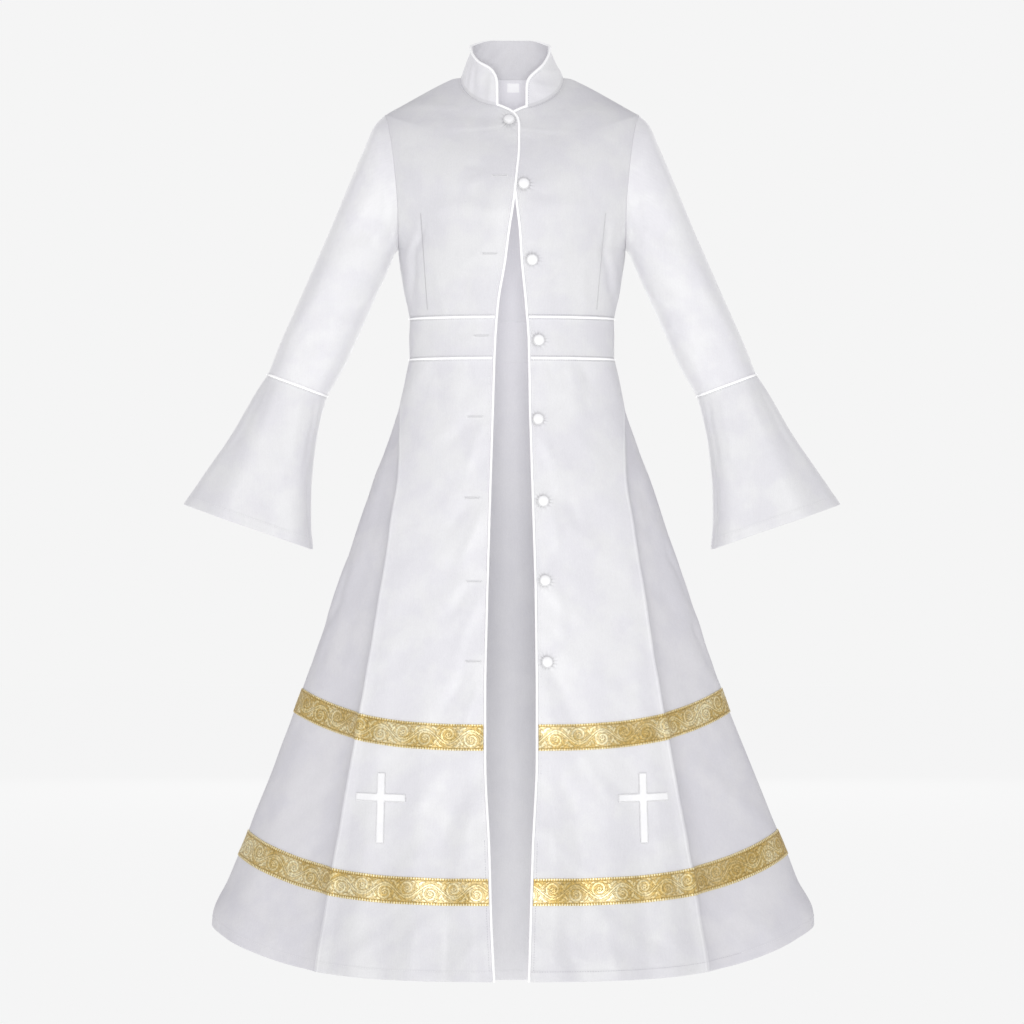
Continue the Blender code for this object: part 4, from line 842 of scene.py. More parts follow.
# Making cloth
SEAM_ROUND = 0.00045
SEAM_STEPS = (0.0, 0.00015, 0.00045, 0.0012)
WELT_STEPS = (0.0, 0.00015, 0.00045, 0.0011, 0.0018, 0.0026, 0.0034, 0.0044, 0.0058)
FREE_STEPS = (0.0, 0.00012, 0.0004, 0.0008)
HEM_DEPTH = 0.016
HEM_STEPS = FREE_STEPS + (0.004, 0.008, 0.012, HEM_DEPTH - 0.0006, HEM_DEPTH + 0.0006,
                          HEM_DEPTH + 0.0018)
EDGE_STEPS = {None: (), "seam": SEAM_STEPS, "welt": WELT_STEPS, "free": FREE_STEPS,
              "hem": HEM_STEPS}
HEM_EXTRA = 0.00028
SEAM_WELT = 0.00075
SEAM_WELT_AT = 0.0026
SEAM_WELT_WIDTH = 0.0013
collection = bpy.data.collections.new("cassock")
bpy.context.scene.collection.children.link(collection)
made = {}
flat_sizes = {}


def with_lines(points, ways, steps):
    """A grid with its first rows set at given distances from its first edge."""
    along = lengths_along(points)
    k = np.arange(points.shape[1])
    start = steps[-1] * 1.15
    kept = int(np.argmax(along.mean(axis=1) > start))
    spread = (along[-1] - start) / (along[-1] - along[kept])
    lines, line_ways = [], []
    for step in [*steps, *(start + (along[kept:] - along[kept]) * spread)]:
        i = np.clip((along <= step).sum(axis=0) - 1, 0, len(points) - 2)
        t = ((step - along[i, k]) / np.maximum(along[i + 1, k] - along[i, k], 1e-9))[:, None]
        lines.append(points[i, k] * (1 - t) + points[i + 1, k] * t)
        line_ways.append(ways[i, k] * (1 - t) + ways[i + 1, k] * t)
    return np.array(lines), unit(np.array(line_ways))


def inner_line(points, ways, distance):
    """The line on the cloth at a distance from its first row."""
    lines, line_ways = with_lines(points, ways, (distance,))
    return lines[0], line_ways[0]


def with_rims(grid, normals, top=(), bottom=(), left=(), right=()):
    """A grid drawn in at its edges, with extra rows and columns at set distances from them."""
    for steps, axis, turned in ((left, 1, False), (right, 1, True),
                                (top, 0, False), (bottom, 0, True)):
        if not steps:
            continue
        if turned:
            grid, normals = np.flip(grid, axis), np.flip(normals, axis)
        grid, normals = with_lines(np.swapaxes(grid, 0, axis), np.swapaxes(normals, 0, axis),
                                   steps)
        grid, normals = np.swapaxes(grid, 0, axis), np.swapaxes(normals, 0, axis)
        if turned:
            grid, normals = np.flip(grid, axis), np.flip(normals, axis)
    return grid, normals


def rounded_wall(grid, half, edges):
    """Half the wall's thickness at each point, less where an edge is rounded off."""
    rows = lengths_along(grid)
    columns = lengths_across(grid)
    distances = (rows, rows[-1:] - rows, columns, columns[:, -1:] - columns)
    wall = np.full(grid.shape[:2], half)
    for kind, distance in zip(edges, distances):
        if kind:
            radius = min(SEAM_ROUND, half) if kind in ("seam", "welt") else half
            near = np.clip(1 - distance / radius, 0.0, 1.0)
            wall = np.minimum(wall, half - radius * (1 - np.sqrt(1 - near ** 2)))
    return wall, distances


def laid_grid(bm, columns, rows):
    """A flat grid's new vertices, each with its column and its row."""
    verts = bmesh.ops.create_grid(bm, x_segments=columns, y_segments=rows, size=0.5)["verts"]
    return [(vert, round((vert.co.x + 0.5) * columns), round((vert.co.y + 0.5) * rows))
            for vert in verts]


def add_piece(name, bm, materials, replaces=(), smooth_angle=50.0):
    """Links a bmesh as one named, smooth-shaded piece that rides on the garment."""
    mesh = bpy.data.meshes.new(name)
    bm.to_mesh(mesh)
    bm.free()
    mesh.shade_smooth()
    mesh.set_sharp_from_angle(angle=math.radians(smooth_angle))
    for finish in materials:
        mesh.materials.append(finish)
    piece = bpy.data.objects.new(name, mesh)
    collection.objects.link(piece)
    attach(piece, "root")
    if replaces:
        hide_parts(*replaces)
    made[name] = piece
    return piece


def shell(outer, inner, uv, closed=False):
    """A closed wall between two grids, its inner side in the second material."""
    rows, columns = outer.shape[:2]
    if closed:
        outer, inner = wrapped(outer), wrapped(inner)
        columns += 1
    bm = bmesh.new()
    bmesh.ops.create_grid(bm, x_segments=columns - 1, y_segments=rows - 1, size=0.5)
    bmesh.ops.scale(bm, vec=(columns - 1, rows - 1, 1), verts=bm.verts)
    bmesh.ops.translate(bm, vec=((columns - 1) / 2, (rows - 1) / 2, 0), verts=bm.verts)
    raised = bmesh.ops.extrude_face_region(bm, geom=bm.faces[:])["geom"]
    lifted = [part for part in raised if isinstance(part, bmesh.types.BMVert)]
    bmesh.ops.translate(bm, vec=(0, 0, 1), verts=lifted)
    bm.verts.index_update()
    mesh = bpy.data.meshes.new("wall")
    bm.to_mesh(mesh)
    bm.free()
    count = len(mesh.vertices)
    places = np.empty(count * 3)
    mesh.vertices.foreach_get("co", places)
    places = np.rint(places.reshape(-1, 3)).astype(int)
    j, i, raised = places[:, 0], places[:, 1], places[:, 2] == 1
    points = np.where(raised[:, None], outer[i, j], inner[i, j])
    mesh.vertices.foreach_set("co", points.ravel())
    layer = mesh.uv_layers.new(name="cloth")
    corners = np.empty(len(mesh.loops), dtype=np.int32)
    mesh.loops.foreach_get("vertex_index", corners)
    layer.uv.foreach_set("vector", uv[i[corners], j[corners]].ravel())
    starts = np.empty(len(mesh.polygons), dtype=np.int32)
    mesh.polygons.foreach_get("loop_start", starts)
    four = corners[starts[:, None] + np.arange(4)]
    inside = (~raised[four]).sum(axis=1) >= 3
    mesh.polygons.foreach_set("material_index", inside.astype(np.int32))
    walls = raised[four].sum(axis=1) == 2
    ends = walls & ((j[four] == 0).all(axis=1) | (j[four] == columns - 1).all(axis=1))
    bm = bmesh.new()
    bm.from_mesh(mesh)
    bpy.data.meshes.remove(mesh)
    if closed:
        bm.faces.ensure_lookup_table()
        bmesh.ops.delete(bm, geom=[bm.faces[k] for k in np.flatnonzero(ends)],
                         context="FACES_ONLY")
        bmesh.ops.remove_doubles(bm, verts=bm.verts, dist=TINY)
    bmesh.ops.recalc_face_normals(bm, faces=bm.faces)
    return bm


def cloth_uv(outer, closed=False):
    """Places on the cloth in metres: across from its middle line, and down."""
    outer = wrapped(outer) if closed else outer
    across, middle = lengths_across(outer), outer.shape[1] // 2
    down = np.broadcast_to(lengths_along(outer)[:, [middle]], across.shape)
    return np.stack([across - across[:, [middle]], -down], axis=-1)


def add_cloth(name, grid, normals, finishes, edges, thick=CLOTH):
    """A panel of cloth with its outer face on a grid; edges are top, bottom, left and right.

    Seams are rounded a little, free edges fully, a hem is turned up, and beside a welted seam
    the turnings raise the cloth.
    """
    closed = edges[2] is None
    if closed:
        grid, normals = wrapped(grid), wrapped(normals)
    grid, normals = with_rims(grid, normals, *(EDGE_STEPS[kind] for kind in edges))
    if closed:
        grid, normals = grid[:, :-1], normals[:, :-1]
    half = thick / 2
    wall, distances = rounded_wall(grid, half, edges)
    for kind, distance in zip(edges, distances):
        if kind == "welt":
            raised = np.exp(-((distance - SEAM_WELT_AT) / SEAM_WELT_WIDTH) ** 2)
            grid = grid + normals * (SEAM_WELT * raised)[:, :, None]
    if edges[1] == "hem":
        turned = smoothstep((HEM_DEPTH + 0.0006 - distances[1]) / 0.0012)
        wall = wall * (1 + HEM_EXTRA / half * turned)
    middle = grid - normals * half
    outer, inner = middle + normals * wall[:, :, None], middle - normals * wall[:, :, None]
    bm = shell(outer, inner, cloth_uv(grid, closed), closed)
    flat_sizes[name] = flat_size(outer, closed)
    return add_piece(name, bm, finishes, (name,))


def flat_size(grid, closed):
    """The widest row, the longest column and the area of a panel."""
    grid = wrapped(grid) if closed else grid
    width, length = lengths_across(grid)[:, -1].max(), lengths_along(grid)[-1].max()
    return width, length, np.linalg.norm(face_ways(grid), axis=-1).sum() / 2


# Finishes
SCROLL = 0.070
CURL_PITCH = 0.0068
EDGE_LINE = 0.0162
LEAVES = [(0.0168, 0.0092, -0.80, 0.0056, 0.0023), (-0.0168, 0.0096, 0.80, 0.0056, 0.0023),
          (0.0118, 0.0132, -0.20, 0.0034, 0.0016), (-0.0118, 0.0134, 0.20, 0.0034, 0.0016),
          (0.0156, -0.0078, 1.05, 0.0046, 0.0018), (-0.0156, -0.0074, -1.05, 0.0046, 0.0018),
          (0.0000, 0.0056, 0.00, 0.0026, 0.0012), (0.0088, -0.0138, 0.35, 0.0034, 0.0013),
          (-0.0088, -0.0138, -0.35, 0.0034, 0.0013)]
GOLD_GROUND = (0.58, 0.39, 0.10, 1.0)
GOLD_GROUND_LIGHT = (0.76, 0.58, 0.24, 1.0)
GOLD_LIGHT = (0.84, 0.69, 0.34, 1.0)
GOLD_CREAM = (1.0, 0.90, 0.58, 1.0)
GOLD_DARK = (0.40, 0.25, 0.06, 1.0)

BUTTON_SHADE = 0.09
BUTTON_FOLDS = 0.5
GLOW_LOW, GLOW_HIGH = -0.95, -0.15
# Darts, from their points down to the waist seam, and the slits of the buttonholes;
# the satin is darkened along and beside each with painted shade
DARTS = [((-0.1374, -0.2112), (-0.1278, -0.3540), 0.0007, 0.13),
         ((0.1409, -0.2112), (0.1281, -0.3540), 0.0007, 0.10)]
SLITS = [((x - BUTTONHOLE_LENGTH / 2, z), (x + BUTTONHOLE_LENGTH / 2, z), 0.0005, 0.06)
         for x, z in BUTTONHOLES]
# The scroll: the vine's swing and strands, the curls, their rosettes and the threads
VINE_SWING, VINE_HALF = 0.0100, 0.0015
STRAND_OFF, STRAND_HALF = 0.0037, 0.0008
CURL_DROP, CURL_HALF, CURL_REACH, CURL_EYE = 0.0036, 0.0016, 0.0118, 0.0042
PETALS, PETAL_REACH, PETAL_SWING, ROSETTE_EYE = 6.0, 0.0032, 0.0008, 0.0012
EDGE_LINE_HALF, SELVEDGE_LOOP = 0.0006, 0.0040
SLANT_PITCH, RIB_PITCH, GOLD_THREAD_PITCH = 0.0027, 0.0009, 0.0011


class Value:
    """A value in a shader tree, with its sums worked out by Math nodes."""

    def __init__(self, n, socket):
        self.n, self.socket = n, socket

    def __add__(self, other):
        return self.n.math("ADD", self, other)

    def __sub__(self, other):
        return self.n.math("SUBTRACT", self, other)

    def __rsub__(self, other):
        return self.n.math("SUBTRACT", other, self)

    def __mul__(self, other):
        return self.n.math("MULTIPLY", self, other)

    def __truediv__(self, other):
        return self.n.math("DIVIDE", self, other)

    def __pow__(self, other):
        return self.n.math("POWER", self, other)

    def __abs__(self):
        return self.n.math("ABSOLUTE", self)


class Nodes:
    """A shader tree with short ways to add and join its nodes."""

    def __init__(self, tree):
        self.tree = tree

    def add(self, kind, inputs=None, **settings):
        node = self.tree.nodes.new(kind)
        for name, value in settings.items():
            setattr(node, name, value)
        for name, value in (inputs or {}).items():
            self.feed(node.inputs[name], value)
        return node

    def out(self, kind, inputs, output=0, **settings):
        return Value(self, self.add(kind, inputs, **settings).outputs[output])

    def feed(self, socket, value):
        value = value.socket if isinstance(value, Value) else value
        if isinstance(value, bpy.types.NodeSocket):
            self.tree.links.new(value, socket)
        else:
            socket.default_value = value

    def math(self, operation, *values):
        return self.out("ShaderNodeMath", dict(enumerate(values)), operation=operation)

    def vector(self, operation, first, second=(0.0, 0.0, 0.0)):
        inputs = {0: first, "Scale" if operation == "SCALE" else 1: second}
        measured = operation in ("DOT_PRODUCT", "DISTANCE", "LENGTH")
        return self.out("ShaderNodeVectorMath", inputs, "Value" if measured else "Vector",
                        operation=operation)

    def split(self, vector):
        outputs = self.add("ShaderNodeSeparateXYZ", {"Vector": vector}).outputs
        return [Value(self, output) for output in outputs]

    def mix(self, factor, first, second):
        return self.out("ShaderNodeMix", {0: factor, 6: first, 7: second}, 2, data_type="RGBA")

    def between(self, value, low, high, to_low=0.0, to_high=1.0):
        return self.out("ShaderNodeMapRange", {"Value": value, "From Min": low, "From Max": high,
                                               "To Min": to_low, "To Max": to_high},
                        interpolation_type="SMOOTHSTEP")

    def noise(self, where, scale, detail=2.0, **inputs):
        return self.out("ShaderNodeTexNoise", {"Vector": where, "Scale": scale,
                                               "Detail": detail, **inputs}, "Fac")

    def bump(self, height, distance, strength=1.0, **inputs):
        return self.out("ShaderNodeBump", {"Height": height, "Distance": distance,
                                           "Strength": strength, **inputs})


def new_group(name, inputs, outputs):
    """A node group, its inputs as values and its outputs; an input given as None is a vector."""
    tree = bpy.data.node_groups.new(name, "ShaderNodeTree")
    for label, value in inputs.items():
        kind = "NodeSocketVector" if value is None else "NodeSocketFloat"
        socket = tree.interface.new_socket(label, in_out="INPUT", socket_type=kind)
        if value is not None:
            socket.default_value = value
    for label in outputs:
        tree.interface.new_socket(label, in_out="OUTPUT", socket_type="NodeSocketFloat")
    n = Nodes(tree)
    start, end = n.add("NodeGroupInput"), n.add("NodeGroupOutput")
    return tree, n, {label: Value(n, start.outputs[label]) for label in inputs}, end.inputs


def satin_weave_group():
    """Five-shed satin: long warp floats down the cloth, bound two threads over each time."""
    tree, n, given, out = new_group("satin weave", {"Place": None, "Thread": 0.0004},
                                    ("Height", "Tint"))
    across, down, _ = n.split(given["Place"])
    across, down = across / given["Thread"], down / given["Thread"]
    thread = n.math("FLOOR", across)
    step = (down + thread * 2.0) / 5.0
    round_thread = n.math("SINE", n.math("FRACT", across) * math.pi)
    float_way = n.math("SINE", n.math("FRACT", step) * math.pi) ** 0.35
    n.feed(out["Height"], round_thread ** 0.6 * float_way)
    cell = n.out("ShaderNodeCombineXYZ", {"X": thread, "Y": n.math("FLOOR", step)})
    n.feed(out["Tint"], n.out("ShaderNodeTexWhiteNoise", {"Vector": cell}, "Value",
                              noise_dimensions="2D"))
    return tree


def handled_group():
    """Soft unevenness of handled cloth: small creases for the bump, a broad mask and slubs."""
    tree, n, given, out = new_group("handled cloth", {"Place": None, "Crease Size": 0.02},
                                    ("Creases", "Mask", "Slubs"))
    scale = n.math("DIVIDE", 1.0, given["Crease Size"])
    n.feed(out["Creases"], n.noise(given["Place"], scale, 3.0, Roughness=0.5, Distortion=0.6))
    broad = n.noise(given["Place"], 17.0, 3.0, Roughness=0.55)
    n.feed(out["Mask"], n.between(broad, 0.38, 0.62))
    long = n.out("ShaderNodeMapping", {"Vector": given["Place"], "Scale": (420.0, 420.0, 28.0)})
    n.feed(out["Slubs"], n.noise(long, 1.0))
    return tree


def sewn_line_group():
    """A line between two places, seen from the front: a painted dark line and painted shade beside
    it.
    """
    tree, n, given, out = new_group(
        "sewn line", {"Place": None, "Start": None, "Way": None, "Length": 0.1,
                      "Half Width": 0.0005}, ("Line", "Shade"))
    flat = n.vector("MULTIPLY", given["Place"], (1.0, 0.0, 1.0))
    off = n.vector("SUBTRACT", flat, given["Start"])
    along = n.math("MAXIMUM", n.vector("DOT_PRODUCT", off, given["Way"]), 0.0)
    held = n.math("MINIMUM", along, given["Length"])
    away = n.vector("DISTANCE", off, n.vector("SCALE", given["Way"], held))
    share = away / given["Half Width"]
    n.feed(out["Line"], n.between(share, 1.3, 0.4))
    n.feed(out["Shade"], n.between(share, 9.0, 0.5))
    return tree


def button_pull_group():
    """Cloth round a sewn button: the painted shade round it, and the short folds that it pulls in.
    """
    tree, n, given, out = new_group("button pull", {"Place": None, "Middle": None,
                                                    "Radius": 0.009}, ("Shade", "Folds"))
    across, _, up = n.split(n.vector("SUBTRACT", given["Place"], given["Middle"]))
    share = n.math("SQRT", across * across + up * up) / given["Radius"]
    turn = n.math("ARCTAN2", up, across)
    ray = n.math("SINE", turn * 13.0 + n.math("SINE", turn * 3.0) * 1.4)
    near = n.between(share, 2.1, 1.1)
    n.feed(out["Shade"], n.between(share, 1.45, 1.05) + near * (ray * 0.22))
    n.feed(out["Folds"], near * ray)
    return tree


def group_node(n, tree, **inputs):
    """One of the groups placed in a material, its outputs as values."""
    named = {name.replace("_", " "): value for name, value in inputs.items()}
    outputs = n.add("ShaderNodeGroup", named, node_tree=tree).outputs
    return {output.name: Value(n, output) for output in outputs}


def new_material(name):
    """A new material, its nodes, its Principled shader and its places for textures."""
    finish = bpy.data.materials.new(name)
    finish.use_nodes = True
    n = Nodes(finish.node_tree)
    shader = finish.node_tree.nodes["Principled BSDF"]
    return finish, n, shader, n.add("ShaderNodeTexCoord").outputs


satin_weave = satin_weave_group()
handled_cloth = handled_group()
sewn_line = sewn_line_group()
button_pull = button_pull_group()


def satin_material(name, light, dark, roughness, sheen, thread=0.00042, weave_depth=0.00005,
                   crease_depth=0.00060, turned=0.0, lines=(), buttons=(), seams=(), cut_seams=(),
                   rim=None, glow=None, hem_shade=0.0):
    """White satin: a soft gloss, fine warp floats and the unevenness of handled cloth.

    Lines are darts and slits seen from the front: their ends, half width and darkness; the
    satin is darkened along and beside each with painted shade.
    Buttons pull the cloth in round them, with painted shade round each, and seams are the heights
    of level seams, with painted shadow beside their cords; cut seams are distances down the panel
    and the darkness of the painted shadow beside them.
    A rim is a round piece's radius, with painted shade just inside it.  A glow is painted light,
    an emission of the cloth though it is no lamp, low and high on the garment; the last argument
    is how much painted shade darkens the cloth towards the hem.
    """
    finish, n, shader, place = new_material(name)
    where = place["UV"]
    if turned:
        where = n.out("ShaderNodeMapping", {"Vector": where, "Rotation": (0, 0, turned)})
    weave = group_node(n, satin_weave, Place=where, Thread=thread)
    handled = group_node(n, handled_cloth, Place=place["Object"], Crease_Size=0.030)
    broad = n.mix(handled["Mask"], (*dark, 1.0), (*light, 1.0))
    threads = weave["Tint"] * 0.05 + weave["Height"] * 0.05 + handled["Slubs"] * 0.05
    across, _, high = n.split(place["Object"])
    # painted shade: the cloth is darkened from a height down to the hem
    shade = threads + n.between(high, -0.95, -1.35, 0.915, 0.915 - hem_shade)
    height = handled["Creases"]
    # painted shade: a dark line along each dart and slit, and a soft shade beside it
    for (start_x, start_z), (end_x, end_z), half_width, darkness in lines:
        way = Vector((end_x - start_x, 0.0, end_z - start_z))
        line = group_node(n, sewn_line, Place=place["Object"], Start=(start_x, 0.0, start_z),
                          Way=way.normalized(), Length=way.length, Half_Width=half_width)
        shade = shade - line["Line"] * darkness - line["Shade"] * (darkness * 0.12)
        height = height - line["Line"] * (darkness * 8)
    # painted shade round each button, darker in short rays where its folds pull
    for x, z in buttons:
        pull = group_node(n, button_pull, Place=place["Object"], Middle=(x, 0.0, z),
                          Radius=BUTTON_RADIUS)
        shade = shade - pull["Shade"] * BUTTON_SHADE
        height = height + pull["Folds"] * BUTTON_FOLDS
    # painted shadow beside the waist seams' cords, stronger towards the sides
    for seam in seams:
        sideways = n.between(abs(across), 0.05, 0.14, 0.085, 0.17)
        shade = shade - n.between(abs(high - seam), 0.0052, 0.0028) * sideways
    # painted shadow beside the seams and cords at these distances down the panel
    for down, darkness in cut_seams:
        off = abs(n.split(place["UV"])[1] + down)
        shade = shade - n.between(off, 0.0060, 0.0022, 0.0, darkness)
    # painted shade: a dark ring just inside the rim of a round piece
    if rim:
        away = n.vector("LENGTH", place["UV"])
        shade = shade - n.between(away, rim - 0.0028, rim - 0.0004, 0.0, 0.26)
    n.feed(shader.inputs["Base Color"], n.vector("SCALE", broad, shade))
    rough = handled["Mask"] * -0.06 + (roughness + 0.03) + handled["Slubs"] * 0.04
    n.feed(shader.inputs["Roughness"], rough)
    soft = n.bump(height, crease_depth)
    n.feed(shader.inputs["Normal"], n.bump(weave["Height"], weave_depth, 0.6, Normal=soft))
    shader.inputs["Sheen Weight"].default_value = sheen
    shader.inputs["Sheen Roughness"].default_value = 0.5
    # painted light: the cloth glows by emission, though it is no lamp
    if glow:
        up = n.between(high, GLOW_LOW, GLOW_HIGH)
        n.feed(shader.inputs["Emission Color"], n.mix(up, (*glow[0], 1.0), (*glow[1], 1.0)))
        shader.inputs["Emission Strength"].default_value = 1.0
    return finish


def gold_material():
    """Gold brocade ribbon: a running scroll with leaves and rosettes between edge lines."""
    finish, n, shader, place = new_material("gold brocade")
    along, up, _ = n.split(place["UV"])
    cell = n.math("FLOOR", along / (SCROLL / 2))
    local = along - (cell + 0.5) * (SCROLL / 2)
    odd = n.math("FLOORED_MODULO", cell, 2.0)
    high = up * (1.0 - odd * 2.0)
    # the vine, in two strands
    vine = high - n.math("COSINE", local * (2 * math.pi / SCROLL)) * VINE_SWING
    stem = n.math("MINIMUM", abs(vine) - VINE_HALF, abs(vine + STRAND_OFF) - STRAND_HALF)
    # a curl in the hollow of each bend, of two strands too
    off = high + CURL_DROP
    radius = n.math("SQRT", local * local + off * off)
    angle = n.math("ARCTAN2", off, local)
    winding = radius / CURL_PITCH - angle / (2 * math.pi)
    ring = abs(n.math("FRACT", winding) - 0.5)
    curl = n.math("MAXIMUM", ring * CURL_PITCH - CURL_HALF, radius - CURL_REACH)
    curl = n.math("MAXIMUM", curl, CURL_EYE - radius)
    # a rosette in each curl, its petals round an eye
    petals = n.math("COSINE", angle * PETALS) * PETAL_SWING + PETAL_REACH
    rosette = n.math("MAXIMUM", radius - petals, ROSETTE_EYE - radius)
    shape = n.math("MINIMUM", n.math("MINIMUM", stem, curl), rosette)
    # leaves and buds that fill the corners
    for middle, rise, lean, reach, breadth in LEAVES:
        dx, dy = local - middle, high - rise
        c, s = math.cos(lean), math.sin(lean)
        run = dx * (c / reach) + dy * (s / reach)
        wide = dy * (c / breadth) - dx * (s / breadth)
        oval = n.math("SQRT", run * run + wide * wide)
        shape = n.math("MINIMUM", shape, (oval - 1.0) * breadth)
    # lines along both edges, and the loops of the selvedges past them
    away = abs(up)
    shape = n.math("MAXIMUM", shape, away - (EDGE_LINE - 0.0012))
    raised = n.between(shape, 0.0003, -0.0004)
    outline = n.between(shape, 0.0012, 0.0002) * (1.0 - raised)
    lines = n.between(abs(away - EDGE_LINE) - EDGE_LINE_HALF, 0.0003, -0.0003)
    loops = n.math("SINE", along * (2 * math.pi / SELVEDGE_LOOP))
    loops = loops - n.between(away, EDGE_LINE + 0.0008, EDGE_LINE + 0.0022, 1.2, 0.0)
    selvedge = n.between(away, EDGE_LINE, EDGE_LINE + 0.0006)
    # gold and silk threads that cross; noise paints creamy highlights and darker brown shade
    # in patches, and fine painted glints
    slant = n.math("SINE", (along - up) * (2 * math.pi / SLANT_PITCH))
    ribs = n.math("SINE", up * (2 * math.pi / RIB_PITCH))
    weave = ribs * n.math("SINE", along * (2 * math.pi / GOLD_THREAD_PITCH))
    lit = n.between(n.noise(place["Object"], 22.0), 0.40, 0.60)
    painted_dark_patches = n.between(n.noise(place["Object"], 13.0, 1.0), 0.48, 0.62, 0.0, 0.52)
    ground = n.mix(n.between(slant, -0.3, 0.5), GOLD_GROUND, GOLD_GROUND_LIGHT)
    ground = n.mix(lit * 0.50, ground, GOLD_CREAM)
    colour = n.mix(raised, ground, n.mix(lit, GOLD_LIGHT, GOLD_CREAM))
    colour = n.mix(painted_dark_patches, colour, GOLD_GROUND)
    colour = n.mix(outline * 0.52, colour, GOLD_DARK)
    edge = n.mix(n.between(loops, -0.8, 0.2), GOLD_GROUND, GOLD_CREAM)
    colour = n.mix(selvedge, colour, edge)
    colour = n.mix(lines * 0.55, colour, GOLD_DARK)
    # painted glints: fine noise scales the gold's colour up and down
    painted_glints = n.between(n.noise(place["UV"], 300.0), 0.32, 0.68, 0.70, 1.14)
    n.feed(shader.inputs["Base Color"], n.vector("SCALE", colour, painted_glints))
    shader.inputs["Metallic"].default_value = 0.5
    n.feed(shader.inputs["Roughness"], 0.44 - raised * 0.10)
    height = raised + weave * 0.12 + slant * 0.12 - lines * 0.6
    n.feed(shader.inputs["Normal"], n.bump(height, 0.00030, 0.7))
    return finish


def thread_material(name, colour, roughness):
    """Sewing thread: fine plies twisted along it."""
    finish, n, shader, place = new_material(name)
    wave = n.out("ShaderNodeTexWave", {"Vector": place["Object"], "Scale": 2200.0,
                                       "Distortion": 1.0}, "Fac",
                 wave_type="BANDS", bands_direction="DIAGONAL")
    dull = tuple(part * 0.86 for part in colour)
    n.feed(shader.inputs["Base Color"], n.mix(wave, (*dull, 1.0), (*colour, 1.0)))
    n.feed(shader.inputs["Normal"], n.bump(wave, 0.00003, 0.5))
    shader.inputs["Roughness"].default_value = roughness
    return finish


WHITES = (0.835, 0.835, 0.845), (0.795, 0.790, 0.820)
# the inside whites are the duller reverse of the satin, made darker still with painted shade
REVERSE_WHITES = (0.74, 0.735, 0.755), (0.72, 0.715, 0.74)
TRIM_WHITES = (0.97, 0.97, 0.975), (0.96, 0.96, 0.965)
WAIST_SEAMS = (WAIST_TOP, WAIST_BOTTOM)


def whites_painted_darker(share):
    """The two whites of the satin, made a little darker as painted shade."""
    return [tuple(part * share for part in colour) for colour in WHITES]


def grey(level):
    """A plain grey."""
    return (level,) * 3


# copies of one satin, each panel made darker or lighter with painted shade
satin = satin_material("white satin", *whites_painted_darker(0.95), 0.43, 0.05)
sleeve_satin = satin_material("sleeve satin", *whites_painted_darker(0.99), 0.45, 1.0)
cuff_satin = satin_material("cuff satin", *whites_painted_darker(0.935), 0.45, 0.7, cut_seams=[(0.0, 0.15)])
# painted light: the collar glows a little by emission
collar_satin = satin_material("collar satin", *whites_painted_darker(0.97), 0.43, 0.8,
                              cut_seams=[(COLLAR_HEIGHT_BACK, 0.13)],
                              glow=(grey(0.05), grey(0.05)))
# painted light: the collar's inside glows a little by emission
collar_reverse = satin_material("collar reverse", *REVERSE_WHITES, 0.62, 0.05,
                                crease_depth=0.0004, glow=(grey(0.03), (0.028, 0.028, 0.027)))
front_satin = satin_material("front satin with darts", *whites_painted_darker(0.935), 0.43, 0.1,
                             lines=DARTS + SLITS[:2], buttons=BUTTONS[:3],
                             seams=WAIST_SEAMS[:1], cut_seams=[(0.0, 0.05)])
waist_satin = satin_material("waistband satin", *whites_painted_darker(0.965), 0.43, 0.1, lines=SLITS[2:3],
                             buttons=BUTTONS[3:4], seams=WAIST_SEAMS)
skirt_satin = satin_material("skirt satin", *WHITES, 0.43, 0.05, lines=SLITS[3:],
                             buttons=BUTTONS[4:], seams=WAIST_SEAMS[1:], hem_shade=0.105)
# painted shade: the skirt's back and sides use darker whites than the same satin in front
back_satin = satin_material("satin darkened with painted shade", (0.752, 0.744, 0.768),
                            (0.715, 0.707, 0.744), 0.46, 0.03)
# painted light: the inside glows by emission, more towards the top
satin_reverse = satin_material("satin reverse", *REVERSE_WHITES, 0.62, 0.05, crease_depth=0.0004,
                               glow=((0.030, 0.030, 0.031), (0.155, 0.153, 0.160)))
# painted light: the piping glows by emission so that it stays pure white
piping_satin = satin_material("piping satin", grey(0.97), grey(0.96), 0.35, 0.3, thread=0.0005,
                              turned=math.pi / 4, crease_depth=0.0001,
                              glow=(grey(0.12), grey(0.16)))
cross_satin = satin_material("cross satin", *TRIM_WHITES, 0.36, 0.3, crease_depth=0.0001)
# painted light: the buttons glow a little by emission
button_satin = satin_material("button satin", *TRIM_WHITES, 0.36, 0.3, thread=0.0004,
                              crease_depth=0.00008, rim=BUTTON_RADIUS,
                              glow=(grey(0.03), grey(0.04)))
# painted light: the label glows by emission, so that it shows lighter
label_satin = satin_material("label weave", grey(0.90), grey(0.88), 0.55, 0.1, thread=0.0003,
                             glow=(grey(0.19), grey(0.20)))
gold = gold_material()
white_thread = thread_material("white thread", (0.93, 0.93, 0.935), 0.5)
hole_thread = thread_material("buttonhole thread", (0.90, 0.90, 0.91), 0.5)
needle_hole_shade = thread_material("needle holes in their shade", (0.50, 0.49, 0.53), 0.8)
gold_thread = thread_material("gold thread", (0.93, 0.80, 0.45), 0.45)


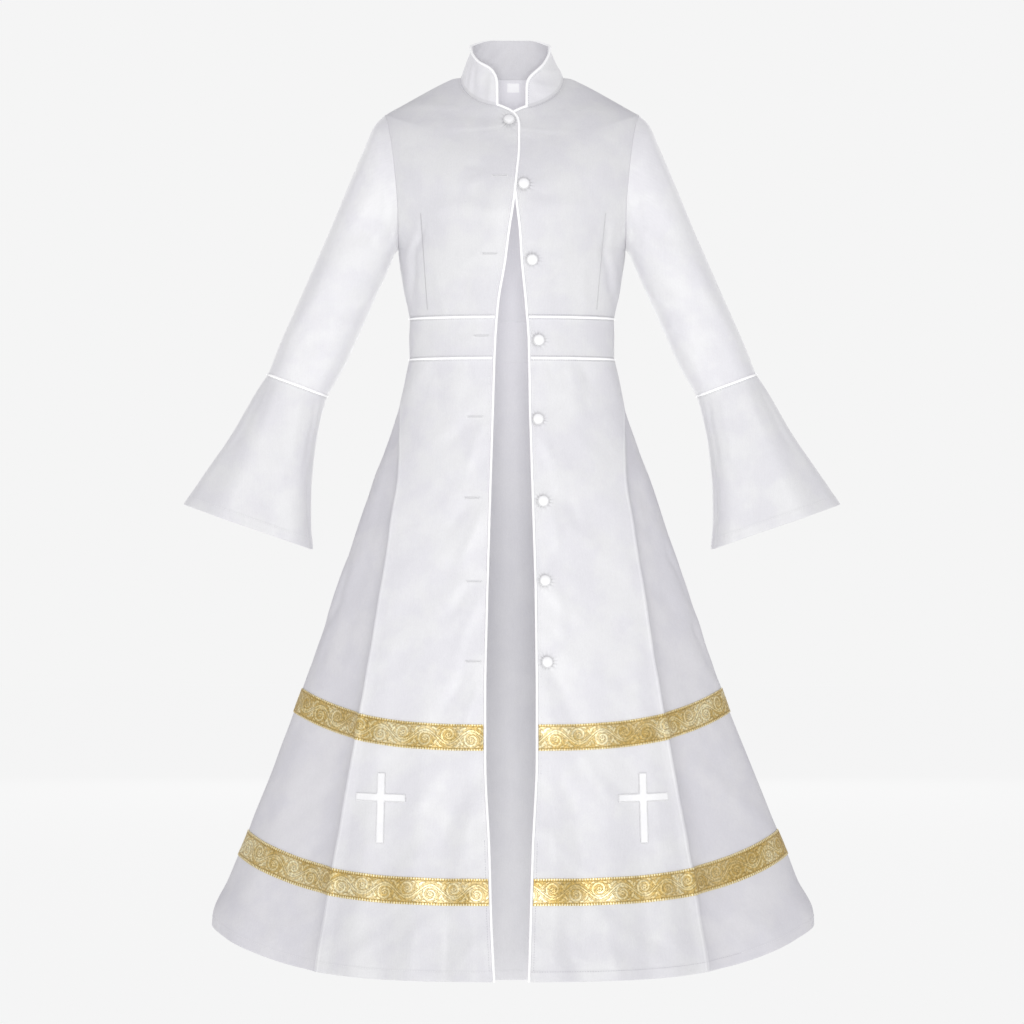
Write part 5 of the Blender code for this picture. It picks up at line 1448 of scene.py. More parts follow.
# Panels
grid, normals, waist_row = build_body()
hip_row = waist_row + WAISTBAND_ROWS
stretches = {"bodice": (0, waist_row, 2), "waistband": (waist_row, hip_row, 2),
             "skirt": (hip_row, len(grid) - 1, 1)}
panels = {"front_right": (0, FRONT_COLUMNS), "back": (BACK_FIRST, BACK_LAST),
          "front_left": (BACK_LAST + 1, COLUMNS - 1)}
front_satins = {"bodice": front_satin, "waistband": waist_satin, "skirt": skirt_satin}
for stretch, (top, bottom, skip) in stretches.items():
    side_seam, low_edge = ("welt", "hem") if stretch == "skirt" else ("seam", "seam")
    for panel, (first, last) in panels.items():
        cut = slice(top, bottom + 1), slice(first, last + 1, skip if panel == "back" else 1)
        edges = ("seam", low_edge, "free" if panel == "front_right" else side_seam,
                 "free" if panel == "front_left" else side_seam)
        outside = front_satins[stretch]
        if panel == "back":
            outside = back_satin if stretch == "skirt" else satin
        add_cloth(stretch + "_" + panel, grid[cut], normals[cut], (outside, satin_reverse),
                  edges)

sleeve, cuff = build_arm(armhole_loop(grid, waist_row), armhole_loop(normals, waist_row))
for side in ("left", "right"):
    for name, (rings, outward), outside, low_edge in (("sleeve", sleeve, sleeve_satin, "seam"),
                                                      ("cuff", cuff, cuff_satin, "hem")):
        if side == "right":
            rings, outward = mirror(rings)[:, ::-1], mirror(outward)[:, ::-1]
        add_cloth(name + "_" + side, rings, outward, (outside, satin_reverse),
                  ("seam", low_edge, None, None))


# Collar
def split_at_collar(points, values):
    """The neckline's right part, the collar's stretch and its left part, cut at its ends."""
    cuts = []
    for i, (a, b) in enumerate(zip(points, points[1:])):
        for end in (-COLLAR_END_X, COLLAR_END_X):
            if (a[0] - end) * (b[0] - end) < 0 and a[1] < 0:
                share = (end - a[0]) / (b[0] - a[0])
                cuts.append((i, a + (b - a) * share,
                             unit(values[i] + (values[i + 1] - values[i]) * share)))
    (i, first, first_value), (j, last, last_value) = cuts
    right = (np.array([*points[:i + 1], first]), np.array([*values[:i + 1], first_value]))
    left = (np.array([last, *points[j + 1:]]), np.array([last_value, *values[j + 1:]]))
    return right, np.array([first, *points[i + 1:j + 1], last]), left


def build_collar(base):
    """The stand collar's grid, its top row first, and its normals."""
    neck = BODICE[-1]
    depth = np.where(base[:, 1] < 0, neck.front_depth, neck.back_depth)
    turns = np.arctan2(np.abs(base[:, 0]) / neck.side_x, -base[:, 1] / depth)
    end_turn = turns.min()
    top_end, front = (np.where(base[:, 0] > 0, ways["left"], ways["right"])
                      for ways in (COLLAR_TOP_END_X, COLLAR_HEIGHT_FRONT))
    top_end = np.arcsin(top_end / COLLAR_TOP_X)
    runs = lengths_along(base)
    quarters = turns / (math.pi / 2)
    full = (front + (COLLAR_HEIGHT_SIDE - front) * smoothstep(quarters)
            + (COLLAR_HEIGHT_BACK - COLLAR_HEIGHT_SIDE)
            * smoothstep((quarters - 1) / COLLAR_BACK_RISE))
    lean = math.pi - (math.pi - turns) * (math.pi - top_end) / (math.pi - end_turn)
    depth = np.where(lean < math.pi / 2, COLLAR_TOP_FRONT, COLLAR_TOP_BACK)
    side = np.where(base[:, 0] > 0, 1, -1)
    rim = np.column_stack([side * COLLAR_TOP_X * np.sin(lean) + COLLAR_TOP_SHIFT,
                           -depth * np.cos(lean), base[:, 2] + full])
    run = np.minimum(np.minimum(runs, runs[-1] - runs) / COLLAR_CORNER_RUN, 1.0)
    rounded = np.sqrt(1 - (1 - run) ** 2)
    height = COLLAR_CORNER_HEIGHT + (full - COLLAR_CORNER_HEIGHT) * rounded
    tops = base + (rim - base) * (height / full)[:, None]
    collar_grid = np.array([base + (tops - base) * i / COLLAR_ROWS
                            for i in range(COLLAR_ROWS, -1, -1)])
    outward = unit(face_sums(collar_grid))
    round_way = lengths_across(collar_grid)
    up = lengths_along(collar_grid)
    broad, middling, fine = COLLAR_RIPPLES
    bend = round_way / 0.0098 + 1.1 + 0.9 * np.sin(up / 0.016 + round_way / 0.03)
    relief = broad * np.sin(bend) + middling * np.sin(0.53 * bend + 0.7)
    relief += fine * np.sin(round_way / 0.0034 + up / 0.013 + np.sin(round_way / 0.011))
    # the ripples are fuller in front, and fade at the edges that the cord and the seam hold
    relief = relief * (0.45 + 0.55 * smoothstep(-base[:, 1] / 0.02))
    fade = smoothstep((up - 0.003) / 0.012) * (0.35 + 0.65 * smoothstep((up[-1:] - up) / 0.010))
    fade = fade * smoothstep((up[-1:] - up) / 0.002)
    fade = fade * smoothstep(np.minimum(runs, runs[-1] - runs) / COLLAR_END_HELD)
    collar_grid = collar_grid + outward * (relief * fade)[:, :, None]
    return collar_grid, unit(face_sums(collar_grid))


def beside(points, ways, distance):
    """A run of points moved sideways within the cloth, to the left of its direction."""
    steps = np.diff(points, axis=0)
    first = unit(np.cross(ways[1:], steps))
    last = unit(np.cross(ways[:-1], steps))
    before = np.concatenate([last[:1], first])
    after = np.concatenate([last, first[-1:]])
    both = 1 + np.sum(before * after, axis=1, keepdims=True)
    return points + (before + after) / both * distance


neck_points, neck_ways = grid[0, RING_COLUMNS], normals[0, RING_COLUMNS]
right_neck, collar_base, left_neck = split_at_collar(neck_points, neck_ways)
collar_grid, collar_ways = build_collar(collar_base)
add_cloth("collar", collar_grid, collar_ways, (collar_satin, collar_reverse),
          ("free", "seam", "free", "free"), thick=COLLAR_CLOTH)

# Piping
CORD_SIDES = 14
CORD_SPACING = 0.0045
CORD_UNEVEN, CORD_UNEVEN_PITCH = 0.035, 0.0028


def finer_run(points, spacing, closed=False):
    """Points spaced evenly along a run, on straight lines between the given ones."""
    points = np.asarray(points)
    if closed:
        points = np.concatenate([points, points[:1]])
    far = lengths_along(points)
    keep = np.concatenate([[True], np.diff(far) > TINY])
    points, far = points[keep], far[keep]
    count = max(int(far[-1] / spacing), 4)
    places = np.linspace(0.0, far[-1], count + 1)
    run = np.stack([np.interp(places, far, points[:, k]) for k in range(3)], axis=-1)
    return run[:-1] if closed else run


def eased(points, rounds, closed=False):
    """A run of points with its small kinks smoothed away, its ends kept."""
    points = np.array(points)
    for _ in range(rounds):
        if closed:
            points = (np.roll(points, 1, axis=0) + 2 * points + np.roll(points, -1, axis=0)) / 4
        else:
            points[1:-1] = (points[:-2] + 2 * points[1:-1] + points[2:]) / 4
    return points


def tube_skin(points, radii, closed, sides):
    """Rings of points round a run of points."""
    points = np.asarray(points)
    ahead = unit(np.roll(points, -1, axis=0) - np.roll(points, 1, axis=0)) if closed else \
        unit(np.gradient(points, axis=0))
    guide = np.zeros_like(ahead)
    first = np.cross(ahead[0], [0.0, 0.3, 1.0])
    if np.linalg.norm(first) < 0.1:
        first = np.cross(ahead[0], [1.0, 0.0, 0.0])
    guide[0] = unit(first)
    for i in range(1, len(points)):
        guide[i] = unit(guide[i - 1] - ahead[i] * np.dot(guide[i - 1], ahead[i]))
    other = np.cross(ahead, guide)
    turn = 2 * math.pi * np.arange(sides) / sides
    ring = (guide[:, None] * np.cos(turn)[None, :, None]
            + other[:, None] * np.sin(turn)[None, :, None])
    return points[:, None] + ring * np.broadcast_to(radii, (len(points),))[:, None, None]


def add_tube(bm, points, radii, closed=False, sides=CORD_SIDES):
    """Adds a round tube along a run of points: a grid rolled up, its ends closed or joined."""
    points = np.asarray(points)
    skin = tube_skin(points, radii, closed, sides)
    far = lengths_along(points)
    if closed:
        far = np.append(far, far[-1] + np.linalg.norm(points[0] - points[-1]))
        skin = np.concatenate([skin, skin[:1]])
    else:
        bulge = float(np.mean(radii)) * 0.4
        ends = (points[0] + unit(points[0] - points[1]) * bulge,
                points[-1] + unit(points[-1] - points[-2]) * bulge)
        skin = np.concatenate([np.tile(ends[0], (1, sides, 1)), skin,
                               np.tile(ends[1], (1, sides, 1))])
        far = np.concatenate([[far[0] - bulge], far, [far[-1] + bulge]])
    rings = len(skin) - 1
    girth = 2 * math.pi * float(np.mean(radii))
    laid = laid_grid(bm, sides, rings)
    layer = bm.loops.layers.uv.verify()
    for vert, k, i in laid:
        for loop in vert.link_loops:
            loop[layer].uv = (girth * k / sides, far[i])
        vert.co = skin[i, k % sides]
    bmesh.ops.remove_doubles(bm, verts=[vert for vert, _, _ in laid], dist=TINY)


def squeezed(outward):
    """The share of its radius that a cord keeps: less where it is pulled round the sides."""
    facing = np.abs(outward[:, [1]])
    return 1 - CORD_SQUEEZE * smoothstep((CORD_TURNED - facing) / CORD_TURNED)


def add_cord(name, points, closed=False, shares=None):
    """A piping cord in its bias-cut satin, a little uneven where it is pulled tight."""
    run = eased(finer_run(points, CORD_SPACING, closed), 3, closed)
    far = lengths_along(run)
    wave = np.sin(far / CORD_UNEVEN_PITCH + 1.5 * np.sin(far / 0.017))
    radii = CORD_RADIUS * (1 + CORD_UNEVEN * wave)
    if shares is not None:
        shares = shares[:, 0]
        if closed:
            points = np.concatenate([points, points[:1]])
            shares = np.append(shares, shares[0])
        radii = radii * np.interp(np.linspace(0.0, 1.0, len(run)),
                                  lengths_along(points) / lengths_along(points)[-1], shares)
    bm = bmesh.new()
    add_tube(bm, run, radii, closed)
    bmesh.ops.recalc_face_normals(bm, faces=bm.faces)
    return add_piece(name, bm, (piping_satin,), (name,))


down_right, down_left = collar_grid[::-1, 0][:-1], collar_grid[:, -1][1:]
collar_run = np.concatenate([down_right, collar_grid[0], down_left])
collar_run_ways = np.concatenate([collar_ways[::-1, 0][:-1], collar_ways[0],
                                  collar_ways[:, -1][1:]])
tucked = smoothstep((collar_run[:, [1]] - COLLAR_TUCK_FROM) / COLLAR_TUCK_RUN)
inset = (beside(collar_run, collar_run_ways, -COLLAR_CORD_RISE) * (1 - tucked)
         + beside(collar_run, collar_run_ways, COLLAR_CORD_TUCK) * tucked
         + collar_run_ways * (CORD_RADIUS + LAID_GAP))
inset[0] += unit(inset[1] - inset[0]) * COLLAR_CORD_END
inset[-1] += unit(inset[-2] - inset[-1]) * COLLAR_CORD_END
add_cord("piping_collar", inset)

for side, column_at, sign, (neck, neck_out) in (("right", 0, 1, right_neck),
                                                ("left", COLUMNS - 1, -1, left_neck)):
    if side == "right":
        neck, neck_out = neck[::-1], neck_out[::-1]
    run = np.concatenate([neck, grid[1:, column_at]])
    ways = np.concatenate([neck_out, normals[1:, column_at]])
    run = run - ways * CLOTH / 2
    cord = beside(run, ways, sign * (CORD_RADIUS + LAID_GAP))
    cord[0] += unit(cord[1] - cord[0]) * NECK_CORD_START
    add_cord("piping_front_" + side, cord)

for name, row in (("top", waist_row), ("bottom", hip_row)):
    outward = normals[row, RING_COLUMNS]
    shares = squeezed(outward)
    cord = grid[row, RING_COLUMNS] + outward * (CORD_RADIUS * shares + LAID_GAP)
    cord[0] += unit(cord[1] - cord[0]) * WAIST_CORD_INSET
    cord[-1] += unit(cord[-2] - cord[-1]) * WAIST_CORD_INSET
    add_cord("piping_waist_" + name, cord, shares=shares)

shares = squeezed(cuff[1][0])
cuff_cord = cuff[0][0] + cuff[1][0] * (CORD_RADIUS * shares + LAID_GAP)
add_cord("piping_cuff_left", cuff_cord, True, shares)
add_cord("piping_cuff_right", mirror(cuff_cord), True, shares)

# Gold ribbons
RIBBON = 0.0010
RIBBON_STITCHED = 0.0013
SEAM_BUMP_END, SEAM_BUMP_RUN = 0.0085, 0.0045
ribbon_lines = {}
downs = skirt_levels()
for name, (top, bottom) in (("band_upper", UPPER_BAND), ("band_lower", LOWER_BAND)):
    rows = [hip_row + i for i, down in enumerate(downs)
            if top - TINY <= down <= bottom + TINY]
    points = grid[rows][:, RING_COLUMNS]
    ways = normals[rows][:, RING_COLUMNS]
    across = lengths_across(points)
    off = np.minimum(*(np.abs(across - across[:, [seam]])
                       for seam in (FRONT_COLUMNS, BACK_LAST - 1)))
    over = SEAM_WELT * smoothstep((SEAM_BUMP_END - off) / SEAM_BUMP_RUN)
    points = points + ways * (LAID_GAP + RIBBON + over)[:, :, None]
    ribbon_steps = tuple(step * RIBBON / CLOTH for step in FREE_STEPS)
    points, ways = with_rims(points, ways, *[ribbon_steps] * 4)
    wall, _ = rounded_wall(points, RIBBON / 2, ("free",) * 4)
    middle = points - ways * RIBBON / 2
    across = np.tile(lengths_across(points)[[len(points) // 2]], (len(points), 1))
    up = lengths_along(points)
    up = up[-1:] / 2 - up
    bm = shell(middle + ways * wall[:, :, None], middle - ways * wall[:, :, None],
               np.stack([across, up], axis=-1))
    add_piece(name, bm, (gold, gold), (name,))
    flat_sizes[name] = flat_size(points, False)
    ribbon_lines[name] = [inner_line(points, ways, RIBBON_STITCHED),
                          inner_line(points[::-1], ways[::-1], RIBBON_STITCHED)]


# What is sewn on
IN_FRONT_Y = -1.0
THREAD_SIDES = 5
CROSS_LEAN = 0.022
CROSS_STEP = 0.0028
CROSS_EDGE_ROUND = 0.0004
SATIN_STITCH_PITCH, SATIN_STITCH_RADIUS = 0.00085, 0.00040
BUTTON_STEPS, BUTTON_PLEATS, BUTTON_PLEAT = 48, 18, 0.00015
HOLE_STITCHES, HOLE_STITCH_RADIUS, HOLE_BAR = 30, 0.00036, 0.0019
LABEL_STITCH, LABEL_STITCH_IN = 0.0002, 0.0011


def uv_from_places(bm, first, second):
    """Writes a UV map from two axes of the vertices' places."""
    layer = bm.loops.layers.uv.verify()
    for face in bm.faces:
        for loop in face.loops:
            loop[layer].uv = (loop.vert.co[first], loop.vert.co[second])


def surface_of(name):
    """A search tree over a piece's faces, for seating what lies on it."""
    mesh = made[name].data
    corners = [vertex.co for vertex in mesh.vertices]
    return BVHTree.FromPolygons(corners, [tuple(face.vertices) for face in mesh.polygons])


def seat(tree, x, z, start_y=IN_FRONT_Y):
    """Where a line back along Y first meets a piece, and its normal there."""
    place, normal, _, _ = tree.ray_cast(Vector((x, start_y, z)), Vector((0.0, 1.0, 0.0)))
    return np.array(place), np.array(normal)


trees = {name: surface_of(name) for name in
         ("skirt_front_right", "skirt_front_left", "bodice_front_right", "bodice_front_left",
          "waistband_front_right", "waistband_front_left", "bodice_back")}


def tree_at(side, height):
    """The front panel that a height falls on."""
    stretch = "bodice" if height > WAIST_TOP else "waistband"
    return trees[("skirt" if height < WAIST_BOTTOM else stretch) + "_front_" + side]


def stitch_runs(starts, ends, facings, radius, rise, steps=3):
    """Short threads that rise out of the cloth, cross it and go back in."""
    starts, ends, facings = np.array(starts), np.array(ends), np.array(facings)
    part = np.linspace(0.0, 1.0, steps + 1)[:, None]
    arch = np.sin(math.pi * part) ** 0.6 * (rise + radius * 0.6) - radius * 0.6
    runs = starts[:, None] + (ends - starts)[:, None] * part + facings[:, None] * arch
    return runs, facings, radius * (0.62 + 0.38 * np.sin(math.pi * part[:, 0]))


def add_threads(bm, runs, facings, radii, sides=THREAD_SIDES):
    """Many short threads at once: a grid rolled up along them and cut apart between them."""
    ahead = unit(np.gradient(runs, axis=1))
    across = unit(np.cross(runs[:, -1] - runs[:, 0], facings))[:, None]
    turn = 2 * math.pi * np.arange(sides)[:, None] / sides
    ring = (across[:, :, None] * np.cos(turn)
            + np.cross(across, ahead)[:, :, None] * np.sin(turn))
    skin = runs[:, :, None] + ring * radii[:, None, None]
    ends = [np.repeat((runs[:, [k]] + ahead[:, [k]] * way * radii.mean() * 0.4)[:, :, None],
                      sides, axis=2) for k, way in ((0, -1), (-1, 1))]
    skin = np.concatenate([ends[0], skin, ends[1]], axis=1)
    rings = skin.shape[1]
    skin = skin.reshape(-1, sides, 3)
    last = len(skin) - 1
    laid = laid_grid(bm, sides, last)
    faces = {face for vert, _, _ in laid for face in vert.link_faces}
    between = [face for face in faces
               if int((face.calc_center_median().y + 0.5) * last) % rings == rings - 1]
    bmesh.ops.delete(bm, geom=between, context="FACES_ONLY")
    for vert, k, i in laid:
        vert.co = skin[i, k % sides]
    bmesh.ops.remove_doubles(bm, verts=[vert for vert, _, _ in laid], dist=TINY)
    bmesh.ops.recalc_face_normals(bm, faces=bm.faces)


def add_cross(name, x, lean, tree):
    """A flat cross laid on a skirt front, with its edge closely stitched."""
    half_bar, half_width = CROSS_BAR / 2, CROSS_WIDTH / 2
    arm_top = CROSS_TOP - CROSS_ARM_DROP + half_bar
    arm_bottom = arm_top - CROSS_BAR

    def cuts(marks):
        lines = []
        for a, b in zip(marks, marks[1:]):
            count = max(int(round(abs(b - a) / CROSS_STEP)), 2)
            lines += list(np.linspace(a, b, count + 1)[:-1])
        return lines + [marks[-1]]

    across = cuts([-half_width, -half_bar, half_bar, half_width])
    down = cuts([CROSS_TOP, arm_top, arm_bottom, CROSS_TOP - CROSS_HEIGHT])
    bm = bmesh.new()
    for vert, j, i in laid_grid(bm, len(across) - 1, len(down) - 1):
        vert.co = (across[j], 0.0, down[-1 - i])
    gone = [face for face in bm.faces if abs(face.calc_center_median().x) > half_bar
            and not arm_bottom < face.calc_center_median().z < arm_top]
    bmesh.ops.delete(bm, geom=gone, context="FACES")
    uv_from_places(bm, 0, 2)
    middle = CROSS_TOP - CROSS_HEIGHT / 2
    facings = {}
    for vert in bm.verts:
        px, pz = vert.co.x, vert.co.z
        place, facing = seat(tree, x + px + (middle - pz) * lean, pz + px * lean)
        facings[vert] = facing
        vert.co = place + facing * CROSS_GAP
    rim = [([vert.co.copy() for vert in edge.verts], edge.link_faces[0].calc_center_median(),
            facings[edge.verts[0]]) for edge in bm.edges if edge.is_boundary]
    raised = bmesh.ops.extrude_face_region(bm, geom=list(bm.faces))["geom"]
    lifted = [part for part in raised if isinstance(part, bmesh.types.BMVert)]
    for vert in lifted:
        _, facing = seat(tree, vert.co.x, vert.co.z)
        vert.co += Vector(facing * APPLIQUE)
    edges = [e for e in bm.edges if len(e.link_faces) == 2
             and e.calc_face_angle(0.0) > math.radians(60)
             and all(v in lifted for v in e.verts)]
    bmesh.ops.bevel(bm, geom=edges, offset=CROSS_EDGE_ROUND, affect="EDGES", segments=2,
                    profile=0.5, material=-1)
    bmesh.ops.recalc_face_normals(bm, faces=bm.faces)
    add_piece(name, bm, (cross_satin,), (name,))
    runs, facings = [], []
    for (a, b), middle, facing in rim:
        count = max(int(round((b - a).length / SATIN_STITCH_PITCH)), 1)
        way = np.array((b - a).normalized())
        inward = np.cross(facing, way)
        if np.dot(inward, np.array(middle - a)) < 0:
            inward = -inward
        for k in range(count):
            spot = np.array(a + (b - a) * ((k + 0.5) / count))
            outer_end = spot - inward * 0.00045 - facing * (CROSS_GAP - 0.0001)
            inner_end = spot + inward * 0.0013 + facing * (APPLIQUE + 0.00005)
            crest = spot + inward * 0.0001 + facing * (APPLIQUE + 0.0002)
            runs.append([outer_end, (outer_end + crest) / 2 - inward * 0.0002, crest,
                         (crest + inner_end) / 2 + facing * 0.0001, inner_end])
            facings.append(facing)
    stitches = bmesh.new()
    radii = SATIN_STITCH_RADIUS * np.array([0.7, 1.0, 1.0, 1.0, 0.6])
    add_threads(stitches, np.array(runs), np.array(facings), radii)
    add_piece(name + "_stitching", stitches, (white_thread,))


for side, sign in (("right", -1), ("left", 1)):
    add_cross("cross_" + side, sign * CROSS_X, sign * CROSS_LEAN, trees["skirt_front_" + side])


def button_profile():
    """The profile of a covered button on its shank, from the dome's top to the shank."""
    rim = BUTTON_SHANK + BUTTON_RIM
    profile = [(0.0, rim + BUTTON_DOME)]
    for k in range(1, 13):
        turn = math.pi / 2 * k / 12
        profile.append((BUTTON_RADIUS * math.sin(turn) ** 0.94,
                        rim + BUTTON_DOME * math.cos(turn)))
    profile += [(BUTTON_RADIUS + 0.00005, rim - 0.0005),
                (BUTTON_RADIUS - 0.0002, BUTTON_SHANK + 0.0004),
                (BUTTON_FOOT_RADIUS, BUTTON_SHANK + 0.0001),
                (BUTTON_FOOT_RADIUS - 0.0012, BUTTON_SHANK),
                (BUTTON_FOOT_RADIUS - 0.0020, BUTTON_SHANK + 0.00035),
                (BUTTON_SHANK_RADIUS + 0.0004, BUTTON_SHANK + 0.0003),
                (BUTTON_SHANK_RADIUS, BUTTON_SHANK - 0.0002),
                (BUTTON_SHANK_RADIUS, -0.0003), (0.0, -0.0003)]
    return profile


def add_button(name, x, height, side):
    """A satin-covered button, pleated a little under its rim, sewn to a front."""
    point, facing = seat(tree_at(side, height), x, height)
    bm = bmesh.new()
    profile = [bm.verts.new((radius, 0.0, z)) for radius, z in button_profile()]
    edges = [bm.edges.new(pair) for pair in zip(profile, profile[1:])]
    bmesh.ops.spin(bm, geom=profile + edges, axis=(0, 0, 1), cent=(0, 0, 0),
                   angle=2 * math.pi, steps=BUTTON_STEPS, use_merge=True)
    bmesh.ops.remove_doubles(bm, verts=bm.verts, dist=0.00005)
    for vert in bm.verts:
        radius = math.hypot(vert.co.x, vert.co.y)
        if BUTTON_FOOT_RADIUS - 0.003 < radius and vert.co.z < BUTTON_SHANK + 0.0006:
            turn = math.atan2(vert.co.y, vert.co.x)
            vert.co.z += BUTTON_PLEAT * math.sin(BUTTON_PLEATS * turn)
    uv_from_places(bm, 0, 1)
    turned = Vector(facing).to_track_quat("Z", "Y").to_matrix().to_4x4()
    bmesh.ops.transform(bm, matrix=turned, verts=bm.verts)
    bmesh.ops.translate(bm, vec=Vector(point + facing * LAID_GAP), verts=bm.verts)
    bmesh.ops.recalc_face_normals(bm, faces=bm.faces)
    add_piece(name, bm, (button_satin,), (name,), 70.0)


for number, (x, height) in enumerate(BUTTONS, start=1):
    add_button("button_" + str(number), x, height, "right" if number == 1 else "left")


def add_buttonhole(name, x, height):
    """A worked buttonhole: two close rows of stitches along a slit, and a bar at each end."""
    tree = tree_at("right", height)
    bm = bmesh.new()
    half = BUTTONHOLE_LENGTH / 2
    rows, bars = [], []
    for k in range(HOLE_STITCHES + 1):
        across = x - half + BUTTONHOLE_LENGTH * k / HOLE_STITCHES
        for way in (1, -1):
            near, facing = seat(tree, across, height + way * 0.0004)
            far, _ = seat(tree, across + 0.0001, height + way * 0.0018)
            rows.append((near, far, facing))
    for end in (-1, 1):
        for k in range(3):
            across = x + end * (half + 0.0002 - 0.0005 * k)
            high, facing = seat(tree, across, height + HOLE_BAR)
            low, _ = seat(tree, across, height - HOLE_BAR)
            bars.append((high, low, facing))
    add_threads(bm, *stitch_runs(*zip(*rows), HOLE_STITCH_RADIUS, 0.00045))
    add_threads(bm, *stitch_runs(*zip(*bars), HOLE_STITCH_RADIUS, 0.0008, 4))
    add_piece(name, bm, (hole_thread,))


for number, (x, height) in enumerate(BUTTONHOLES, start=1):
    add_buttonhole("buttonhole_" + str(number), x, height)


def add_label():
    """The bare woven label on the inside of the back, stitched down at both ends."""
    tree = trees["bodice_back"]
    columns, rows = 13, 9
    across = np.linspace(LABEL_X - LABEL_WIDTH / 2, LABEL_X + LABEL_WIDTH / 2, columns)
    down = np.linspace(LABEL_TOP, LABEL_TOP - LABEL_HEIGHT, rows)
    laid = [[seat(tree, x, z, start_y=0.0) for x in across] for z in down]
    points = np.array([[place for place, _ in row] for row in laid])
    ways = np.array([[facing for _, facing in row] for row in laid])
    near = points + ways * (LAID_GAP + LABEL)
    uv = np.stack(np.meshgrid(across, down), axis=-1)
    bm = shell(near, points + ways * LAID_GAP, uv)
    add_piece("neck_label", bm, (label_satin, label_satin), ("neck_label",))
    places = []
    for end, inset_way in ((0, 1), (columns - 1, -1)):
        shift = np.array([LABEL_STITCH_IN * inset_way, 0.0, 0.0])
        for k in range(rows - 1):
            places.append((near[k, end] * 0.75 + near[k + 1, end] * 0.25 + shift,
                           near[k, end] * 0.25 + near[k + 1, end] * 0.75 + shift,
                           ways[k, end]))
    stitches = bmesh.new()
    add_threads(stitches, *stitch_runs(*zip(*places), LABEL_STITCH, LABEL_STITCH))
    add_piece("label_stitching", stitches, (white_thread,))


add_label()

# Stitching
STITCH, STITCH_PITCH, STITCH_RADIUS = 0.0026, 0.0038, 0.00028
HOLE, HOLE_RADIUS, COLLAR_HOLE_RADIUS = 0.0009, 0.00036, 0.00060
# How far in from their edges the lines are sewn
SEAM_STITCHED, NECK_STITCHED, FRONT_STITCHED = 0.0032, 0.0022, 0.0040
HEM_STITCHED = HEM_DEPTH - 0.0012


def stitched(name, lines, finish, hole_radius=HOLE_RADIUS):
    """A piece of machine stitches along lines on the cloth, with dark pieces of painted shade at
    the needle holes between them.
    """
    bm = bmesh.new()
    for points, ways in lines:
        far = lengths_along(points)
        pitch = far[-1] / int(far[-1] / STITCH_PITCH)
        middles = np.arange(0.5, far[-1] / pitch - 0.4) * pitch
        # the second pass lays dark pieces, painted shade at the needle holes
        for shift, length, radius, rise, steps in ((0.0, STITCH, STITCH_RADIUS, 0.00015, 2),
                                                   (pitch / 2, HOLE, hole_radius, 0.0, 1)):
            if not radius:
                continue
            starts, ends, facings = (np.stack([np.interp(places + shift, far, values[:, k])
                                               for k in range(3)], axis=-1)
                                     for places, values in ((middles - length / 2, points),
                                                            (middles + length / 2, points),
                                                            (middles, ways)))
            before = len(bm.faces)
            runs = stitch_runs(starts, ends, unit(facings), radius, rise, steps)
            add_threads(bm, *runs, 4)
            if shift:
                bm.faces.ensure_lookup_table()
                for face in bm.faces[before:]:
                    face.material_index = 1
    add_piece(name, bm, (finish, needle_hole_shade) if hole_radius else (finish,))


ring, ring_ways = grid[:, RING_COLUMNS], normals[:, RING_COLUMNS]
waist_lines = [inner_line(run[0], run[1], SEAM_STITCHED) for run in (
    (ring[waist_row:0:-1], ring_ways[waist_row:0:-1]),
    (ring[waist_row:hip_row], ring_ways[waist_row:hip_row]),
    (ring[hip_row:waist_row:-1], ring_ways[hip_row:waist_row:-1]),
    (ring[hip_row:], ring_ways[hip_row:]))]
stitched("waist_stitching", waist_lines, white_thread)

around = [j for j in range(ring.shape[1])
          if ring[0, j, 1] > 0 or abs(ring[0, j, 0]) > COLLAR_END_X + 0.001]
neck_line = inner_line(ring[:20, around], ring_ways[:20, around], NECK_STITCHED)
edge_line = beside(collar_run, collar_run_ways, SEAM_STITCHED)
collar_tree = surface_of("collar")
seated = [collar_tree.find_nearest(Vector(place + way * 0.004))
          for place, way in zip(edge_line, collar_run_ways)]
edge_line = eased(np.array([place for place, _, _, _ in seated]), 4)
stitched("collar_stitching", [neck_line, (edge_line, collar_run_ways)], white_thread,
         COLLAR_HOLE_RADIUS)

front_lines = [inner_line(np.swapaxes(run, 0, 1), np.swapaxes(run_ways, 0, 1), FRONT_STITCHED)
               for run, run_ways in ((grid[2:, :FRONT_COLUMNS], normals[2:, :FRONT_COLUMNS]),
                                     (grid[2:, :BACK_LAST + 1:-1],
                                      normals[2:, :BACK_LAST + 1:-1]))]
stitched("front_stitching", front_lines, white_thread)

points, ways = inner_line(ring[:hip_row:-1], ring_ways[:hip_row:-1], HEM_STITCHED)
stitched("hem_stitching", [(points + ways * HEM_EXTRA, ways)], white_thread)
for side in ("left", "right"):
    arm_lines = []
    for rings, outward, distance, lift in (
            (sleeve[0][::-1], sleeve[1][::-1], SEAM_STITCHED, 0.0),
            (cuff[0], cuff[1], SEAM_STITCHED, 0.0),
            (cuff[0][::-1], cuff[1][::-1], HEM_STITCHED, HEM_EXTRA)):
        rings, outward = wrapped(rings), wrapped(outward)
        if side == "right":
            rings, outward = mirror(rings), mirror(outward)
        points, ways = inner_line(rings, outward, distance)
        arm_lines.append((points + ways * lift, ways))
    stitched("cuff_stitching_" + side, arm_lines, white_thread)
for name, lines in ribbon_lines.items():
    stitched(name + "_stitching", lines, gold_thread, 0.0)

